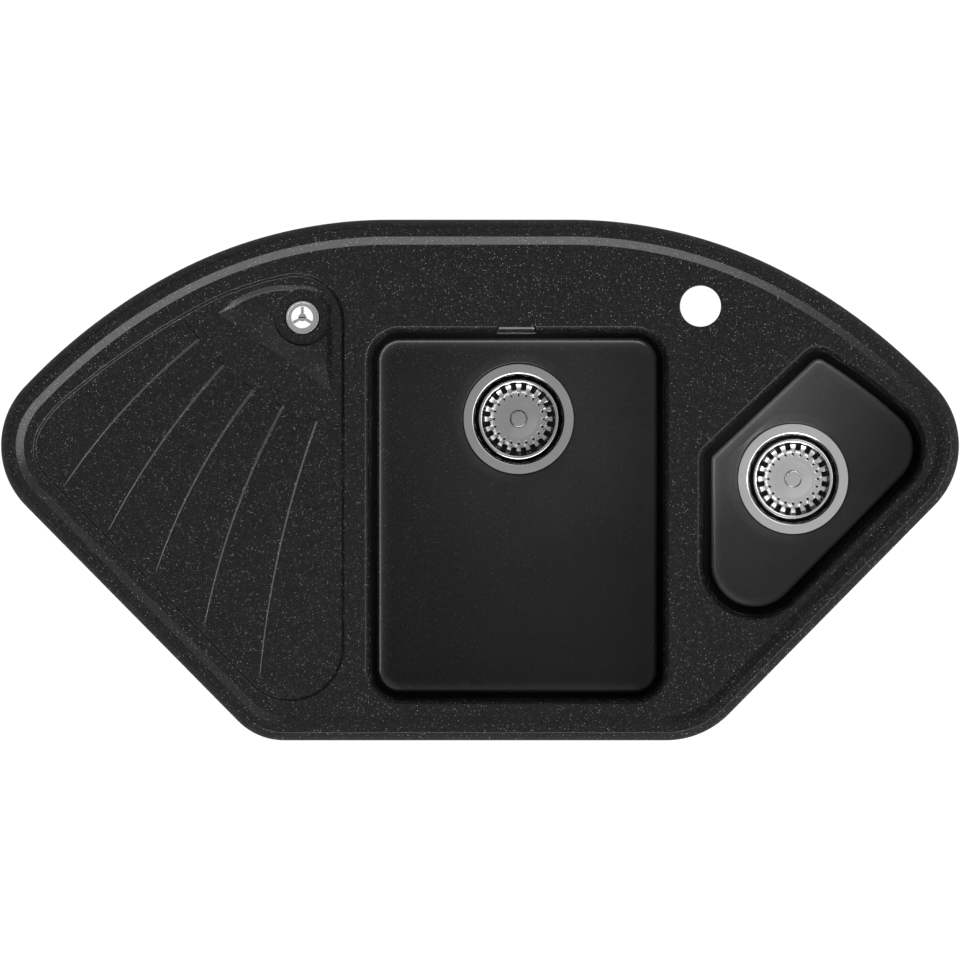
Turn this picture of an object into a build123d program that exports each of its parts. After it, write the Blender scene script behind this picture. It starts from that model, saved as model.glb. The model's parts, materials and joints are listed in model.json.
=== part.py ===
from build123d import *
from math import atan2, cos, degrees, hypot, pi, radians, sin, tan
import os

os.makedirs("parts", exist_ok=True)

# Corner sink, millimetres. z = 0 is the worktop and the underside of the rim. x = 0 is mid-width,
# y = 0 the front edge of the worktop's cut-out, +y points into the corner.

# outline: straight back, two arcs a side, side corner, straight 45 degree side, front corner
overall_width = 975.0
overall_depth = 530.0
cutout_inset = 12.0
front_y = -cutout_inset
back_y = overall_depth - cutout_inset
left_x, right_x = -overall_width / 2, overall_width / 2
back_radius, back_turn = 470.0, radians(28.2)
shoulder_radius, shoulder_turn = 583.0, radians(18.6)
corner_radius = 87.0
side_slope = radians(44.6)                      # the side's angle from the y axis
front_corner = {1: 90.0, -1: 66.0}              # right and left differ on the real one

# rim and deck
rim_top = 9.0
rim_round = 6.5
rim_flat_inset = 16.8
rim_bevel_inset = 25.0
deck_top = 5.0
deck_bottom = -5.0
seat_width = 12.5

# drainer: its points are measured from the left and back edges
drainer_inset = 36.5
drainer_wide = 348.1
drainer_right_x = left_x + drainer_wide
drainer_back_corner, drainer_front_corner = 48.0, 54.0
drainer_drop = 2.5
drainer_draft = 35.0
apron_arc = [(186.2, 100.6), (257.5, 172.9), (350.1, 212.6)]
apron_drop = 0.8
fluting_starts = [(201.5, 122.0), (227.5, 147.4), (257.5, 172.9), (287.7, 189.2), (321.6, 204.9)]
fluting_ends = [(62.6, 273.6), (107.9, 319.4), (156.4, 362.2), (206.6, 415.1), (263.0, 469.0)]
fluting_bulge = 8.2
fluting_wide, fluting_narrow = 4.0, 1.6
fluting_deep, fluting_shallow = 1.5, 0.6
fluting_back_wide, fluting_back_narrow = 16.0, 7.0

# drain well in the drainer, measured from the left and back edges
well_centre = (left_x + 306.7, back_y - 99.5)
well_line = [(220.9, 95.5), (337.9, 175.9)]  # the ramp starts on this line
well_arc_top = [(256.5, 72.5), (304.3, 67.5)]
well_right = 337.0
well_corner = 27.0
well_centre_drop, well_draft = 5.5, 40.0
well_round = 29.0
well_floor_z = -7.0
well_boss_bottom = -16.0
well_hole = 12.6
well_seat_round, well_seat_drop = 17.2, 1.2

# bowls: wall line at deck level, mouth and floor roundings, draft, wall
mouth_round = 5.0
wall = 8.5
bowl_floor = 9.0
skin_chamfer = 7.0
drainer_gap, bowls_gap = 29.5, 42.5
main_front_gap, main_back_gap = 43.7, 115.7
small_left_x = right_x - 259.8
main_x = (drainer_right_x + drainer_gap, small_left_x - bowls_gap)
main_y = (front_y + main_front_gap, back_y - main_back_gap)
main_corner = 29.0
main_depth, main_draft = 190.0, 1.5
main_floor_round = 9.0
small_corners = {"front": 52.0, "left": 15.0, "back": 17.5, "right": 49.0}
# the small bowl's lines and the middle of its arc, measured from the right and back edges
small_back_line = [(258.5, 230.3), (156.7, 133.9)]
small_front_line = [(40.4, 261.1), (167.6, 390.2)]
small_arc_radius, small_arc_middle, small_arc_bearing = 526.0, (78.18, 176.12), radians(51)
small_depth, small_draft = 130.0, 2.2
small_floor_round = 8.0
main_drain_aside, main_drain_back = 1.65, 87.1
main_drain = ((main_x[0] + main_x[1]) / 2 + main_drain_aside, main_y[1] - main_drain_back)
small_drain = (right_x - 168.9, back_y - 263.9)
dish_width, dish_drop = 9.0, 1.2

# tap hole
tap_hole = (right_x - 263.1, back_y - 88.1)
tap_hole_radius = 20.8

# overflow in the big bowl's back wall
overflow_x = main_drain[0] - 2.4
overflow_plate_width, overflow_plate_thick = 38.2, 2.0
overflow_plate_z = (-27.0, 1.5)
overflow_plate_y = main_y[1] + 4.3
overflow_gap = 0.5
overflow_duct_width, overflow_duct_z = 26.0, (-22.0, -8.0)
overflow_boss_y, overflow_boss_margin = main_y[1] + 15.7, 8.0

# clips: two in front, two behind, one on each side and shoulder; x is outward from the outline
clip_front_x, clip_back_x = ((main_x[0] + main_x[1]) / 2, 90.0), (0.0, 75.0)
pad_reach, pad_width, pad_bottom = (-28.0, -14.0), 22.0, -13.0
clip_screw_x = -20.0
clip_insert_radius, clip_insert_top = 4.0, -5.0
clip_reach, clip_width, clip_sheet = (-27.5, -4.0), 14.0, 1.5
worktop_thick = 38.0
clip_gap = 0.5
clip_screw_radius, clip_head_radius, clip_head_high, clip_slot = 2.4, 4.5, 3.5, 1.2

# a waste, z from its bowl's floor
waste_hole = 47.5
waste_recess, waste_recess_drop = 57.3, 3.2
flange_radius, flange_sheet = 56.3, 1.2
cup_inside, cup_seat, cup_well_inside, cup_floor = 44.5, -31.1, 31.0, -38.0
cup_holes, cup_hole_circle, cup_hole_radius = 6, 18.5, 5.4
clamp_hole = 4.2
seal_thick = 1.4
basket_rim_radius, basket_rim_inside, basket_rim_top, basket_rim_foot = 40.1, 37.7, -3.0, -4.6
basket_floor, basket_floor_radius, basket_sheet = -23.0, 26.4, 0.8
basket_slots, slot_reach, slot_width = 20, (27.2, 34.8), 4.2
drain_hole_circle, drain_hole_radius = 24.6, 1.0
stem_radius, stem_clearance = 2.95, 0.05
knob_radius, knob_neck, knob_top, knob_head, knob_edge = 8.45, 4.8, -9.0, -15.5, 1.5
lift_gap = 0.3
collar_radius, collar_foot = 6.0, -27.2
plug_radius, plug_foot = 36.2, -30.8
stem_foot = -32.4
clamp_head_radius, clamp_head_top, clamp_slot = 8.5, -34.5, 1.8
clamp_shank, clamp_foot = 3.0, -62.5
waste_gasket_thick = 3.0
waste_ring_radius, waste_ring_thick = 57.0, 4.0
waste_wall_inside, waste_wall = 47.5, 3.0
waste_floor_top, waste_floor_foot = -58.0, -61.0
outlet_radius, outlet_inside, outlet_foot = 23.9, 20.8, -92.0
hub_radius, hub_top, hub_foot = 7.5, -40.0, -62.0
rib_count, rib_wide, rib_reach, rib_top = 3, 3.0, 34.0, -46.0
insert_radius, insert_long = 5.0, 10.0
inlet_radius, inlet_inside, inlet_reach, inlet_z = 11.0, 8.5, 78.0, -34.0
inlet_pad_face, inlet_pad_high, inlet_pad_wide = 52.0, 26.0, 28.0   # flat pad that a hose inlet stands on
main_inlets = (90.0, 180.0)

# the overflow behind the big bowl's wall
overflow_slot_wide, overflow_slot_high, overflow_slot_z = 26.0, 3.6, (-10.8, -19.2)
overflow_screw_z, overflow_screw_radius, overflow_screw_head = -15.0, 1.95, 3.8
overflow_gasket_thick = 2.0
overflow_ring_half, overflow_ring_z, overflow_ring_thick = 21.0, (-31.0, -6.0), 3.0
overflow_box_half, overflow_box_z, overflow_box_deep, overflow_box_wall = 16.0, (-28.0, -8.0), 27.0, 2.0
overflow_spigot_foot = -58.0
overflow_screw_end = overflow_boss_y + 16.0

# the drain in the drainer, z from the well's floor
rosette_radius, rosette_open, rosette_ring = 16.6, 10.9, 13.3
rosette_high, rosette_step = 1.4, 0.2
rosette_spoke, rosette_hub = 3.3, 4.3
rosette_screw_head, rosette_screw_shank = 3.5, 1.95
rosette_gasket_radius, rosette_gasket_thick = 18.5, 2.0
tail_ring_thick, tail_radius, tail_inside, tail_foot = 3.0, 13.2, 11.0, -60.0
tail_boss, tail_rib, tail_boss_foot = 3.6, 2.4, -30.0


# ---- outline -------------------------------------------------------------------------------------

def clockwise(point, heading, radius, turn):
    # an arc that leaves a point along a heading: its edge's three points and the new heading
    cx, cy = point[0] + radius * sin(heading), point[1] - radius * cos(heading)
    at = lambda t: (cx - radius * sin(heading - t), cy + radius * cos(heading - t))
    return (point, at(turn / 2), at(turn)), heading - turn


back_half = overall_width / 2 - (
    back_radius * sin(back_turn)
    + shoulder_radius * (sin(back_turn + shoulder_turn) - sin(back_turn))
    + corner_radius * (1 - sin(back_turn + shoulder_turn))
)


def half_outline(side, inset):
    # one side's edges from the middle of the back to the end of the front corner
    flip = lambda p: (side * p[0], p[1])
    point, heading = (back_half, back_y - inset), 0.0
    edges = []
    corner_turn = radians(90) + side_slope - back_turn - shoulder_turn
    for radius, turn in (
        (back_radius, back_turn), (shoulder_radius, shoulder_turn), (corner_radius, corner_turn)
    ):
        points, heading = clockwise(point, heading, radius - inset, turn)
        edges.append(ThreePointArc(*map(flip, points)))
        point = points[2]
    radius, turn = front_corner[side] - inset, radians(90) - side_slope
    run = (point[1] - front_y - inset - radius * (1 - cos(turn))) / cos(side_slope)
    ahead = (point[0] - run * sin(side_slope), point[1] - run * cos(side_slope))
    edges.append(Line(flip(point), flip(ahead)))
    points, heading = clockwise(ahead, heading, radius, turn)
    edges.append(ThreePointArc(*map(flip, points)))
    return edges, flip(points[2])


def from_left(point):
    return (left_x + point[0], back_y - point[1])


def from_right(point):
    return (right_x - point[0], back_y - point[1])


def outline(inset, z):
    right, right_end = half_outline(1, inset)
    left, left_end = half_outline(-1, inset)
    back = Line((-back_half, back_y - inset), (back_half, back_y - inset))
    wire = Wire([back] + right + [Line(right_end, left_end)] + left[::-1])
    return Pos(0, 0, z) * make_face(wire)


def ruled(*faces):
    return Solid.make_loft([f.faces()[0].outer_wire() for f in faces], ruled=True)


def line_cross(a, b):
    # where two lines, each given by two points, cross
    (x1, y1), (x2, y2) = a
    (x3, y3), (x4, y4) = b
    d = (x1 - x2) * (y3 - y4) - (y1 - y2) * (x3 - x4)
    p, q = x1 * y2 - y1 * x2, x3 * y4 - y3 * x4
    return ((p * (x3 - x4) - (x1 - x2) * q) / d, (p * (y3 - y4) - (y1 - y2) * q) / d)


def shifted(line, distance):
    # a line moved to the right of its direction
    (x1, y1), (x2, y2) = line
    length = hypot(x2 - x1, y2 - y1)
    nx, ny = (y2 - y1) / length * distance, -(x2 - x1) / length * distance
    return [(x1 + nx, y1 + ny), (x2 + nx, y2 + ny)]


def rounded(face, corners):
    # 2D corners rounded one by one: {(x, y): radius}
    for (x, y), radius in corners.items():
        near = min(face.vertices(), key=lambda v: hypot(v.X - x, v.Y - y))
        face = fillet(near, radius)
    return face


def box_between(x, y, z):
    return Pos((x[0] + x[1]) / 2, (y[0] + y[1]) / 2, (z[0] + z[1]) / 2) * Box(
        x[1] - x[0], y[1] - y[0], z[1] - z[0]
    )


# ---- bowls ---------------------------------------------------------------------------------------

def main_face(grow, z):
    x0, x1, y0, y1 = main_x[0] - grow, main_x[1] + grow, main_y[0] - grow, main_y[1] + grow
    plate = RectangleRounded(x1 - x0, y1 - y0, main_corner + grow)
    return Pos((x0 + x1) / 2, (y0 + y1) / 2, z) * plate


def small_face(grow, z):
    left = [(small_left_x - grow, 0), (small_left_x - grow, 100)]
    back = shifted([from_right(p) for p in small_back_line], mouth_round - grow)
    front = shifted([from_right(p) for p in small_front_line], mouth_round - grow)
    middle = from_right(small_arc_middle)
    arc_centre = (middle[0] - small_arc_radius * cos(small_arc_bearing),
                  middle[1] - small_arc_radius * sin(small_arc_bearing))
    far = overall_width
    toward = lambda line: (
        line[0][0] + (line[1][0] - line[0][0]) * far / hypot(*(b - a for a, b in zip(*line))),
        line[0][1] + (line[1][1] - line[0][1]) * far / hypot(*(b - a for a, b in zip(*line))),
    )
    a, b = line_cross(left, front), line_cross(left, back)
    plate = make_face(Polyline(a, b, toward(back), (far, far), toward(front[::-1]), close=True))
    plate = plate & Pos(*arc_centre) * Circle(small_arc_radius + grow)
    ends = sorted(plate.vertices(), key=lambda v: v.X)
    top = max(ends, key=lambda v: v.Y)
    right = max(ends, key=lambda v: v.X)
    plate = rounded(plate.faces()[0], {
        a: small_corners["front"] + grow,
        b: small_corners["left"] + grow,
        (top.X, top.Y): small_corners["back"] + grow,
        (right.X, right.Y): small_corners["right"] + grow,
    })
    return Pos(0, 0, z) * plate


def drawn_down(face, depth, draft):
    # a bowl's space or its outer skin: a drafted block
    return extrude(face, amount=depth, dir=(0, 0, -1), taper=draft)


def lower_edge(block):
    return block.edges().group_by(Axis.Z)[0]


def raised(face, height):
    return extrude(face, amount=height, dir=(0, 0, 1))


# ---- sink body -----------------------------------------------------------------------------------

def fluting(start, end):
    # one flute: a steep side toward the back left, a long shallow side toward the bowl, both
    # running out toward the front
    (x0, y0), (x1, y1) = start, end
    length = hypot(x1 - x0, y1 - y0)
    nx, ny = (y1 - y0) / length, -(x1 - x0) / length       # to the back left
    if nx > 0:
        nx, ny = -nx, -ny
    middle = ((x0 + x1) / 2 + nx * fluting_bulge, (y0 + y1) / 2 + ny * fluting_bulge)
    path = ThreePointArc(start, middle, end)
    floor = deck_top - drainer_drop
    up = drainer_drop / 2
    wires = []
    for t in (0.0, 0.5, 1.0):
        point, along = path @ t, path % t
        across = (along.Y, -along.X) if along.Y * nx - along.X * ny < 0 else (-along.Y, along.X)
        width = fluting_wide + (fluting_narrow - fluting_wide) * t
        deep = fluting_deep + (fluting_shallow - fluting_deep) * t
        back = fluting_back_wide + (fluting_back_narrow - fluting_back_wide) * t
        section = [
            (-width / 2 - width * up / deep, up), (width / 2, -deep), (width / 2 + back * (deep + up) / deep, up)
        ]
        wires.append(Wire.make_polygon([
            Vector(point.X + across[0] * s, point.Y + across[1] * s, floor + z) for s, z in section
        ], close=True))
    return Solid.make_loft(wires, ruled=True)


def drainer_cuts():
    # the left side's line runs on toward the front, and the strip ends the recess on the right
    arcs = half_outline(-1, drainer_inset)[0][:3]
    corner, beyond = arcs[2] @ 1, drainer_right_x + drainer_wide
    recess = make_face(Wire(arcs + Polyline(
        corner, (beyond, corner.Y - (beyond - corner.X) / tan(side_slope)),
        (beyond, back_y - drainer_inset), (-back_half, back_y - drainer_inset),
    ).edges())).faces()[0]
    strip = Pos(drainer_right_x - overall_width / 2, 0) * Rectangle(overall_width, 4 * overall_depth)
    recess = (recess & strip).faces()[0]
    corners = sorted((v for v in recess.vertices() if v.X > drainer_right_x - 0.01), key=lambda v: v.Y)
    recess = rounded(recess, {
        (corners[0].X, corners[0].Y): drainer_front_corner,
        (corners[-1].X, corners[-1].Y): drainer_back_corner,
    })
    recess = (recess & Pos(0, front_y + drainer_inset + overall_depth / 2)
              * Rectangle(2 * overall_width, overall_depth)).faces()[0]
    pan = extrude(Pos(0, 0, deck_top) * recess, amount=drainer_drop, dir=(0, 0, -1), taper=drainer_draft)
    pan += raised(Pos(0, 0, deck_top) * recess, drainer_drop)
    # the apron round the drain lies a little lower than the fan
    p, q, r = map(from_left, apron_arc)
    fan_side = ThreePointArc(p, q, r)
    beyond = Polyline(r, (r[0] + drainer_wide, r[1]), (r[0] + drainer_wide, p[1] + drainer_wide),
                      (p[0], p[1] + drainer_wide), p)
    apron = make_face(Wire([fan_side, *beyond.edges()]))
    apron = extrude(Pos(0, 0, deck_top) * apron, amount=drainer_drop + apron_drop, dir=(0, 0, -1))
    apron = apron & extrude(Pos(0, 0, deck_top) * recess, amount=drainer_drop + apron_drop,
                            dir=(0, 0, -1), taper=drainer_draft)
    room = extrude(Pos(0, 0, deck_top - drainer_drop - fluting_deep) * recess,
                   amount=2 * drainer_drop + fluting_deep)
    flutes = [
        fluting(from_left(start), from_left(end)) & room for start, end in zip(fluting_starts, fluting_ends)
    ]
    return [pan, apron, *flutes]


def well_cut():
    # the drain well: walls at 45 degrees and a ramp that falls away from the fan
    a, b = map(from_left, well_line)
    top_left, top = map(from_left, well_arc_top)
    far = (left_x + well_right, top[1])
    level = deck_top - drainer_drop - apron_drop
    face = make_face(Wire([
        Line(b, a),
        ThreePointArc(a, top_left, top),
        *Polyline(top, far, b).edges(),
    ]))
    face = rounded(face, {far: well_corner})
    walls = extrude(Pos(0, 0, level) * face, amount=level - well_floor_z, dir=(0, 0, -1),
                    taper=well_draft) + raised(Pos(0, 0, level) * face, drainer_drop)
    length = hypot(b[0] - a[0], b[1] - a[1])
    away = (-(b[1] - a[1]) / length, (b[0] - a[0]) / length)
    reach = (well_centre[0] - a[0]) * away[0] + (well_centre[1] - a[1]) * away[1]
    fall = atan2(well_centre_drop, reach)
    plane = Plane(
        origin=(a[0], a[1], level),
        x_dir=(b[0] - a[0], b[1] - a[1], 0),
        z_dir=(away[0] * sin(fall), away[1] * sin(fall), cos(fall)),
    )
    above = plane * Pos(0, 0, overall_depth / 2) * Box(overall_width, overall_width, overall_depth)
    return walls & above


def clip_places():
    # points on the outline with their outward directions in degrees
    spots = [(clip_front_x[0] + side * clip_front_x[1], front_y, -90.0) for side in (-1, 1)]
    spots += [(clip_back_x[0] + side * clip_back_x[1], back_y, 90.0) for side in (-1, 1)]
    for side in (-1, 1):
        _, shoulder, _, slope, _ = half_outline(side, 0)[0]
        for edge in (shoulder, slope):
            at, along = edge @ 0.5, edge % 0.5
            spots.append((at.X, at.Y, degrees(atan2(side * along.X, -side * along.Y))))
    return spots


def clip_frame(spot):
    x, y, angle = spot
    return Pos(x, y, 0) * Rot(0, 0, angle)


def sink_body():
    body = raised(outline(0, 0), rim_top)
    body = fillet(body.edges().group_by(Axis.Z)[-1], rim_round)
    pocket = ruled(outline(rim_bevel_inset, deck_top), outline(rim_flat_inset, rim_top))
    pocket = pocket + raised(outline(rim_flat_inset, rim_top), 2.0)
    body -= pocket
    body += raised(outline(seat_width, deck_bottom), -deck_bottom)

    skin_top = deck_bottom + 1.0
    for face, depth, draft in ((main_face, main_depth, main_draft), (small_face, small_depth, small_draft)):
        skin = drawn_down(face(wall, skin_top), skin_top - deck_top + depth + bowl_floor, draft)
        body += chamfer(lower_edge(skin), skin_chamfer)
    body += extrude(Pos(*well_centre, well_boss_bottom) * Circle(well_round + 8), amount=deck_bottom
                    - well_boss_bottom + 1)
    for spot in clip_places():
        body += clip_frame(spot) * box_between(pad_reach, (-pad_width / 2, pad_width / 2),
                                               (pad_bottom, deck_bottom + 1))
    half = overflow_plate_width / 2
    body += box_between(
        (overflow_x - half - overflow_boss_margin, overflow_x + half + overflow_boss_margin),
        (main_y[1] + 2, overflow_boss_y),
        (overflow_plate_z[0] - overflow_boss_margin, deck_bottom + 1),
    )

    for cut in drainer_cuts():
        body -= cut
    body -= well_cut()
    body -= Pos(*well_centre, well_floor_z + 10) * Cylinder(well_round, 20)
    body -= Pos(*well_centre, well_floor_z - well_seat_drop + 5) * Cylinder(well_seat_round, 10)
    body -= Pos(*well_centre, well_floor_z) * Cylinder(well_hole, 40)

    for face, depth, draft, floor_round, drain in (
        (main_face, main_depth, main_draft, main_floor_round, main_drain),
        (small_face, small_depth, small_draft, small_floor_round, small_drain),
    ):
        space = drawn_down(face(0, deck_top), depth, draft)
        body -= fillet(lower_edge(space), floor_round)
        edge = face(0, deck_top).faces()[0].outer_wire()
        mouth = [e for e in body.edges() if max(edge.distance_to(e @ t) for t in (0.0, 0.5, 1.0)) < 0.05]
        body = fillet(mouth, mouth_round)
        body -= Pos(*drain, deck_top - depth) * waste_cuts()

    body -= Pos(*tap_hole, 0) * Cylinder(tap_hole_radius, 60)
    for spot in clip_places():
        body -= clip_frame(spot) * Pos(clip_screw_x, 0, 0) * prism(
            clip_insert_radius + 0.02, 6, clip_insert_top + 0.1, pad_bottom - 1
        )
    # the pocket of the overflow's cover and the duct behind it
    body -= box_between(
        (overflow_x - half - overflow_gap, overflow_x + half + overflow_gap),
        (main_y[1] - 20, overflow_plate_y + overflow_plate_thick),
        (overflow_plate_z[0] - overflow_gap, rim_top + 1),
    )
    body -= box_between(
        (overflow_x - overflow_duct_width / 2, overflow_x + overflow_duct_width / 2),
        (main_y[1] - 20, overflow_boss_y + 20),
        overflow_duct_z,
    )
    return body


def turned(points):
    # a solid of revolution round z from (radius, height) points
    return revolve(make_face(Plane.XZ * Polyline(*points, close=True)), Axis.Z)


def prism(radius, sides, top, foot):
    return Pos(0, 0, foot) * extrude(RegularPolygon(radius, sides), amount=top - foot)


def ring(inside, outside, top, thick):
    return Pos(0, 0, top - thick / 2) * (Cylinder(outside, thick) - Cylinder(inside, thick))


def waste_cuts():
    cut = Pos(0, 0, -waste_recess_drop + 10) * Cylinder(waste_recess, 20)
    cut += Cylinder(waste_hole, 80)
    cut += turned([(0, 0.01), (waste_recess + dish_width, 0.01), (waste_recess, -dish_drop), (0, -dish_drop)])
    return cut


def opened(face, wider, high):
    # a block that widens upward
    return extrude(face, amount=high, taper=-degrees(atan2(wider, high)))


# ---- wastes --------------------------------------------------------------------------------------

def flange():
    # a pressed cup: flat flange, straight wall, seat for the plug, well with holes in its floor
    top = -waste_recess_drop + seal_thick + flange_sheet
    t = flange_sheet
    cup = turned([
        (flange_radius, top), (cup_inside, top), (cup_inside, cup_seat), (cup_well_inside, cup_seat),
        (cup_well_inside, cup_floor), (clamp_hole, cup_floor), (clamp_hole, cup_floor - t),
        (cup_well_inside + t, cup_floor - t), (cup_well_inside + t, cup_seat - t),
        (cup_inside + t, cup_seat - t), (cup_inside + t, top - t), (flange_radius, top - t),
    ])
    return cup - PolarLocations(cup_hole_circle, cup_holes) * prism(
        cup_hole_radius, 8, cup_floor + t, cup_floor - 2 * t
    )


def basket():
    # a dish with a flat side between each two ribs of its wall, radial slots there, and a ring of
    # small holes in its floor
    t, sides, flat = basket_sheet, 2 * basket_slots, cos(pi / basket_slots / 2)
    side = lambda radius, z: Pos(0, 0, z) * Rot(0, 0, 90 / basket_slots) * RegularPolygon(radius / flat, sides)
    dish = opened(side(basket_floor_radius, basket_floor), basket_rim_inside + t - basket_floor_radius,
                  basket_rim_foot - basket_floor)
    dish += Pos(0, 0, (basket_rim_top + basket_rim_foot) / 2) * Cylinder(
        basket_rim_radius, basket_rim_top - basket_rim_foot
    )
    floor_inside = basket_floor_radius - t * 0.75
    dish -= opened(side(floor_inside, basket_floor + t), basket_rim_inside - floor_inside,
                   basket_rim_foot - basket_floor - t / 2)
    dish -= extrude(side(basket_rim_inside, basket_rim_foot + t / 2), amount=basket_rim_top - basket_rim_foot)
    pitch = 360 / basket_slots
    middle, high = sum(slot_reach) / 2, 2 * (basket_rim_top - basket_floor)
    slots = Pos(0, 0, basket_floor) * PolarLocations(middle, basket_slots, start_angle=pitch / 2) * Box(
        slot_reach[1] - slot_reach[0], slot_width, high
    )
    holes = PolarLocations(drain_hole_circle, basket_slots) * prism(
        drain_hole_radius, 6, basket_floor + 2 * t, basket_floor - t
    )
    bore = Pos(0, 0, basket_floor) * Cylinder(stem_radius + stem_clearance, 4 * t)
    return dish - slots - holes - bore


def knob():
    foot = basket_floor + basket_sheet + lift_gap
    return turned([
        (stem_radius, foot), (knob_neck, foot), (knob_neck, knob_head), (knob_radius, knob_head),
        (knob_radius, knob_top - knob_edge), (knob_radius - knob_edge, knob_top), (0, knob_top),
        (0, knob_top - 2), (stem_radius, knob_top - 2),
    ])


def stem():
    top, radius = basket_floor - lift_gap, stem_radius - 0.02
    return turned([
        (0, knob_top - 2.2), (radius, knob_top - 2.2), (radius, top), (collar_radius, top),
        (collar_radius, collar_foot), (radius, collar_foot), (radius, stem_foot), (0, stem_foot),
    ])


def plug():
    return ring(stem_radius, plug_radius, collar_foot, collar_foot - plug_foot)


def clamp_screw():
    bolt = turned([
        (0, clamp_head_top), (clamp_head_radius, clamp_head_top), (clamp_head_radius, cup_floor),
        (clamp_shank, cup_floor), (clamp_shank, clamp_foot), (0, clamp_foot),
    ])
    slot = Pos(0, 0, clamp_head_top) * Box(3 * clamp_head_radius, clamp_slot, 2 * clamp_slot)
    return bolt - slot


def insert():
    # a hexagonal nut moulded into the hub
    nut = prism(insert_radius, 6, hub_foot + insert_long, hub_foot)
    return nut - Pos(0, 0, hub_foot) * Cylinder(clamp_shank + 0.05, 3 * insert_long)


def waste_body(inlets):
    # a cup clamped under the bowl: ring, wall, floor, threaded outlet and a ribbed hub for the screw
    ring_top = -bowl_floor - waste_gasket_thick
    ring_foot = ring_top - waste_ring_thick
    outside = waste_wall_inside + waste_wall
    full = turned([
        (0, ring_top), (waste_ring_radius, ring_top), (waste_ring_radius, ring_foot), (outside, ring_foot),
        (outside, waste_floor_foot), (outlet_radius, waste_floor_foot), (outlet_radius, outlet_foot),
        (0, outlet_foot),
    ])
    space = turned([
        (0, ring_top + 1), (waste_wall_inside, ring_top + 1), (waste_wall_inside, waste_floor_top),
        (outlet_inside, waste_floor_top), (outlet_inside, outlet_foot - 1), (0, outlet_foot - 1),
    ])
    ribs = Pos(0, 0, (rib_top + waste_floor_top) / 2) * PolarLocations(
        rib_reach / 2, rib_count, start_angle=30
    ) * Box(rib_reach, rib_wide, rib_top - waste_floor_top)
    hub = Pos(0, 0, (hub_top + hub_foot) / 2) * Cylinder(hub_radius, hub_top - hub_foot)
    shell = full
    for angle in inlets:
        lie = Rot(0, 0, angle) * Pos(0, 0, inlet_z) * Rot(0, 90, 0)
        shell += lie * Pos(0, 0, inlet_pad_face - 4) * Box(inlet_pad_high, inlet_pad_wide, 8)
        shell += lie * Pos(0, 0, (inlet_pad_face - 4 + inlet_reach) / 2) * Cylinder(
            inlet_radius, inlet_reach - inlet_pad_face + 4
        )
    shell -= space
    for angle in inlets:
        lie = Rot(0, 0, angle) * Pos(0, 0, inlet_z) * Rot(0, 90, 0)
        shell -= lie * Pos(0, 0, 30 + inlet_reach / 2) * Cylinder(inlet_inside, inlet_reach)
    for rib in ribs:
        shell += rib
    shell += hub
    shell -= Pos(0, 0, (hub_top + hub_foot) / 2) * Cylinder(clamp_shank + 0.3, 2 * (hub_top - hub_foot))
    shell -= prism(insert_radius + 0.02, 6, hub_foot + insert_long, hub_foot - 1)
    return shell


def add_waste(parts, name, drain, floor_z, inlets):
    place = Pos(*drain, floor_z)
    parts[name + "_flange"] = place * flange()
    parts[name + "_flange_seal"] = place * ring(
        waste_hole + 1, flange_radius - 0.3, -waste_recess_drop + seal_thick, seal_thick
    )
    parts[name + "_basket"] = place * basket()
    parts[name + "_knob"] = place * knob()
    parts[name + "_stem"] = place * stem()
    parts[name + "_plug"] = place * plug()
    parts[name + "_clamp_screw"] = place * clamp_screw()
    parts[name + "_insert"] = place * insert()
    parts[name + "_waste_gasket"] = place * ring(
        waste_hole + 1, waste_ring_radius, -bowl_floor, waste_gasket_thick
    )
    parts[name + "_waste_body"] = place * waste_body(inlets)


# ---- overflow ------------------------------------------------------------------------------------

def along_y(radius, y0, y1):
    return Pos(0, (y0 + y1) / 2, 0) * Rot(90, 0, 0) * Cylinder(radius, y1 - y0)


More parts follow.
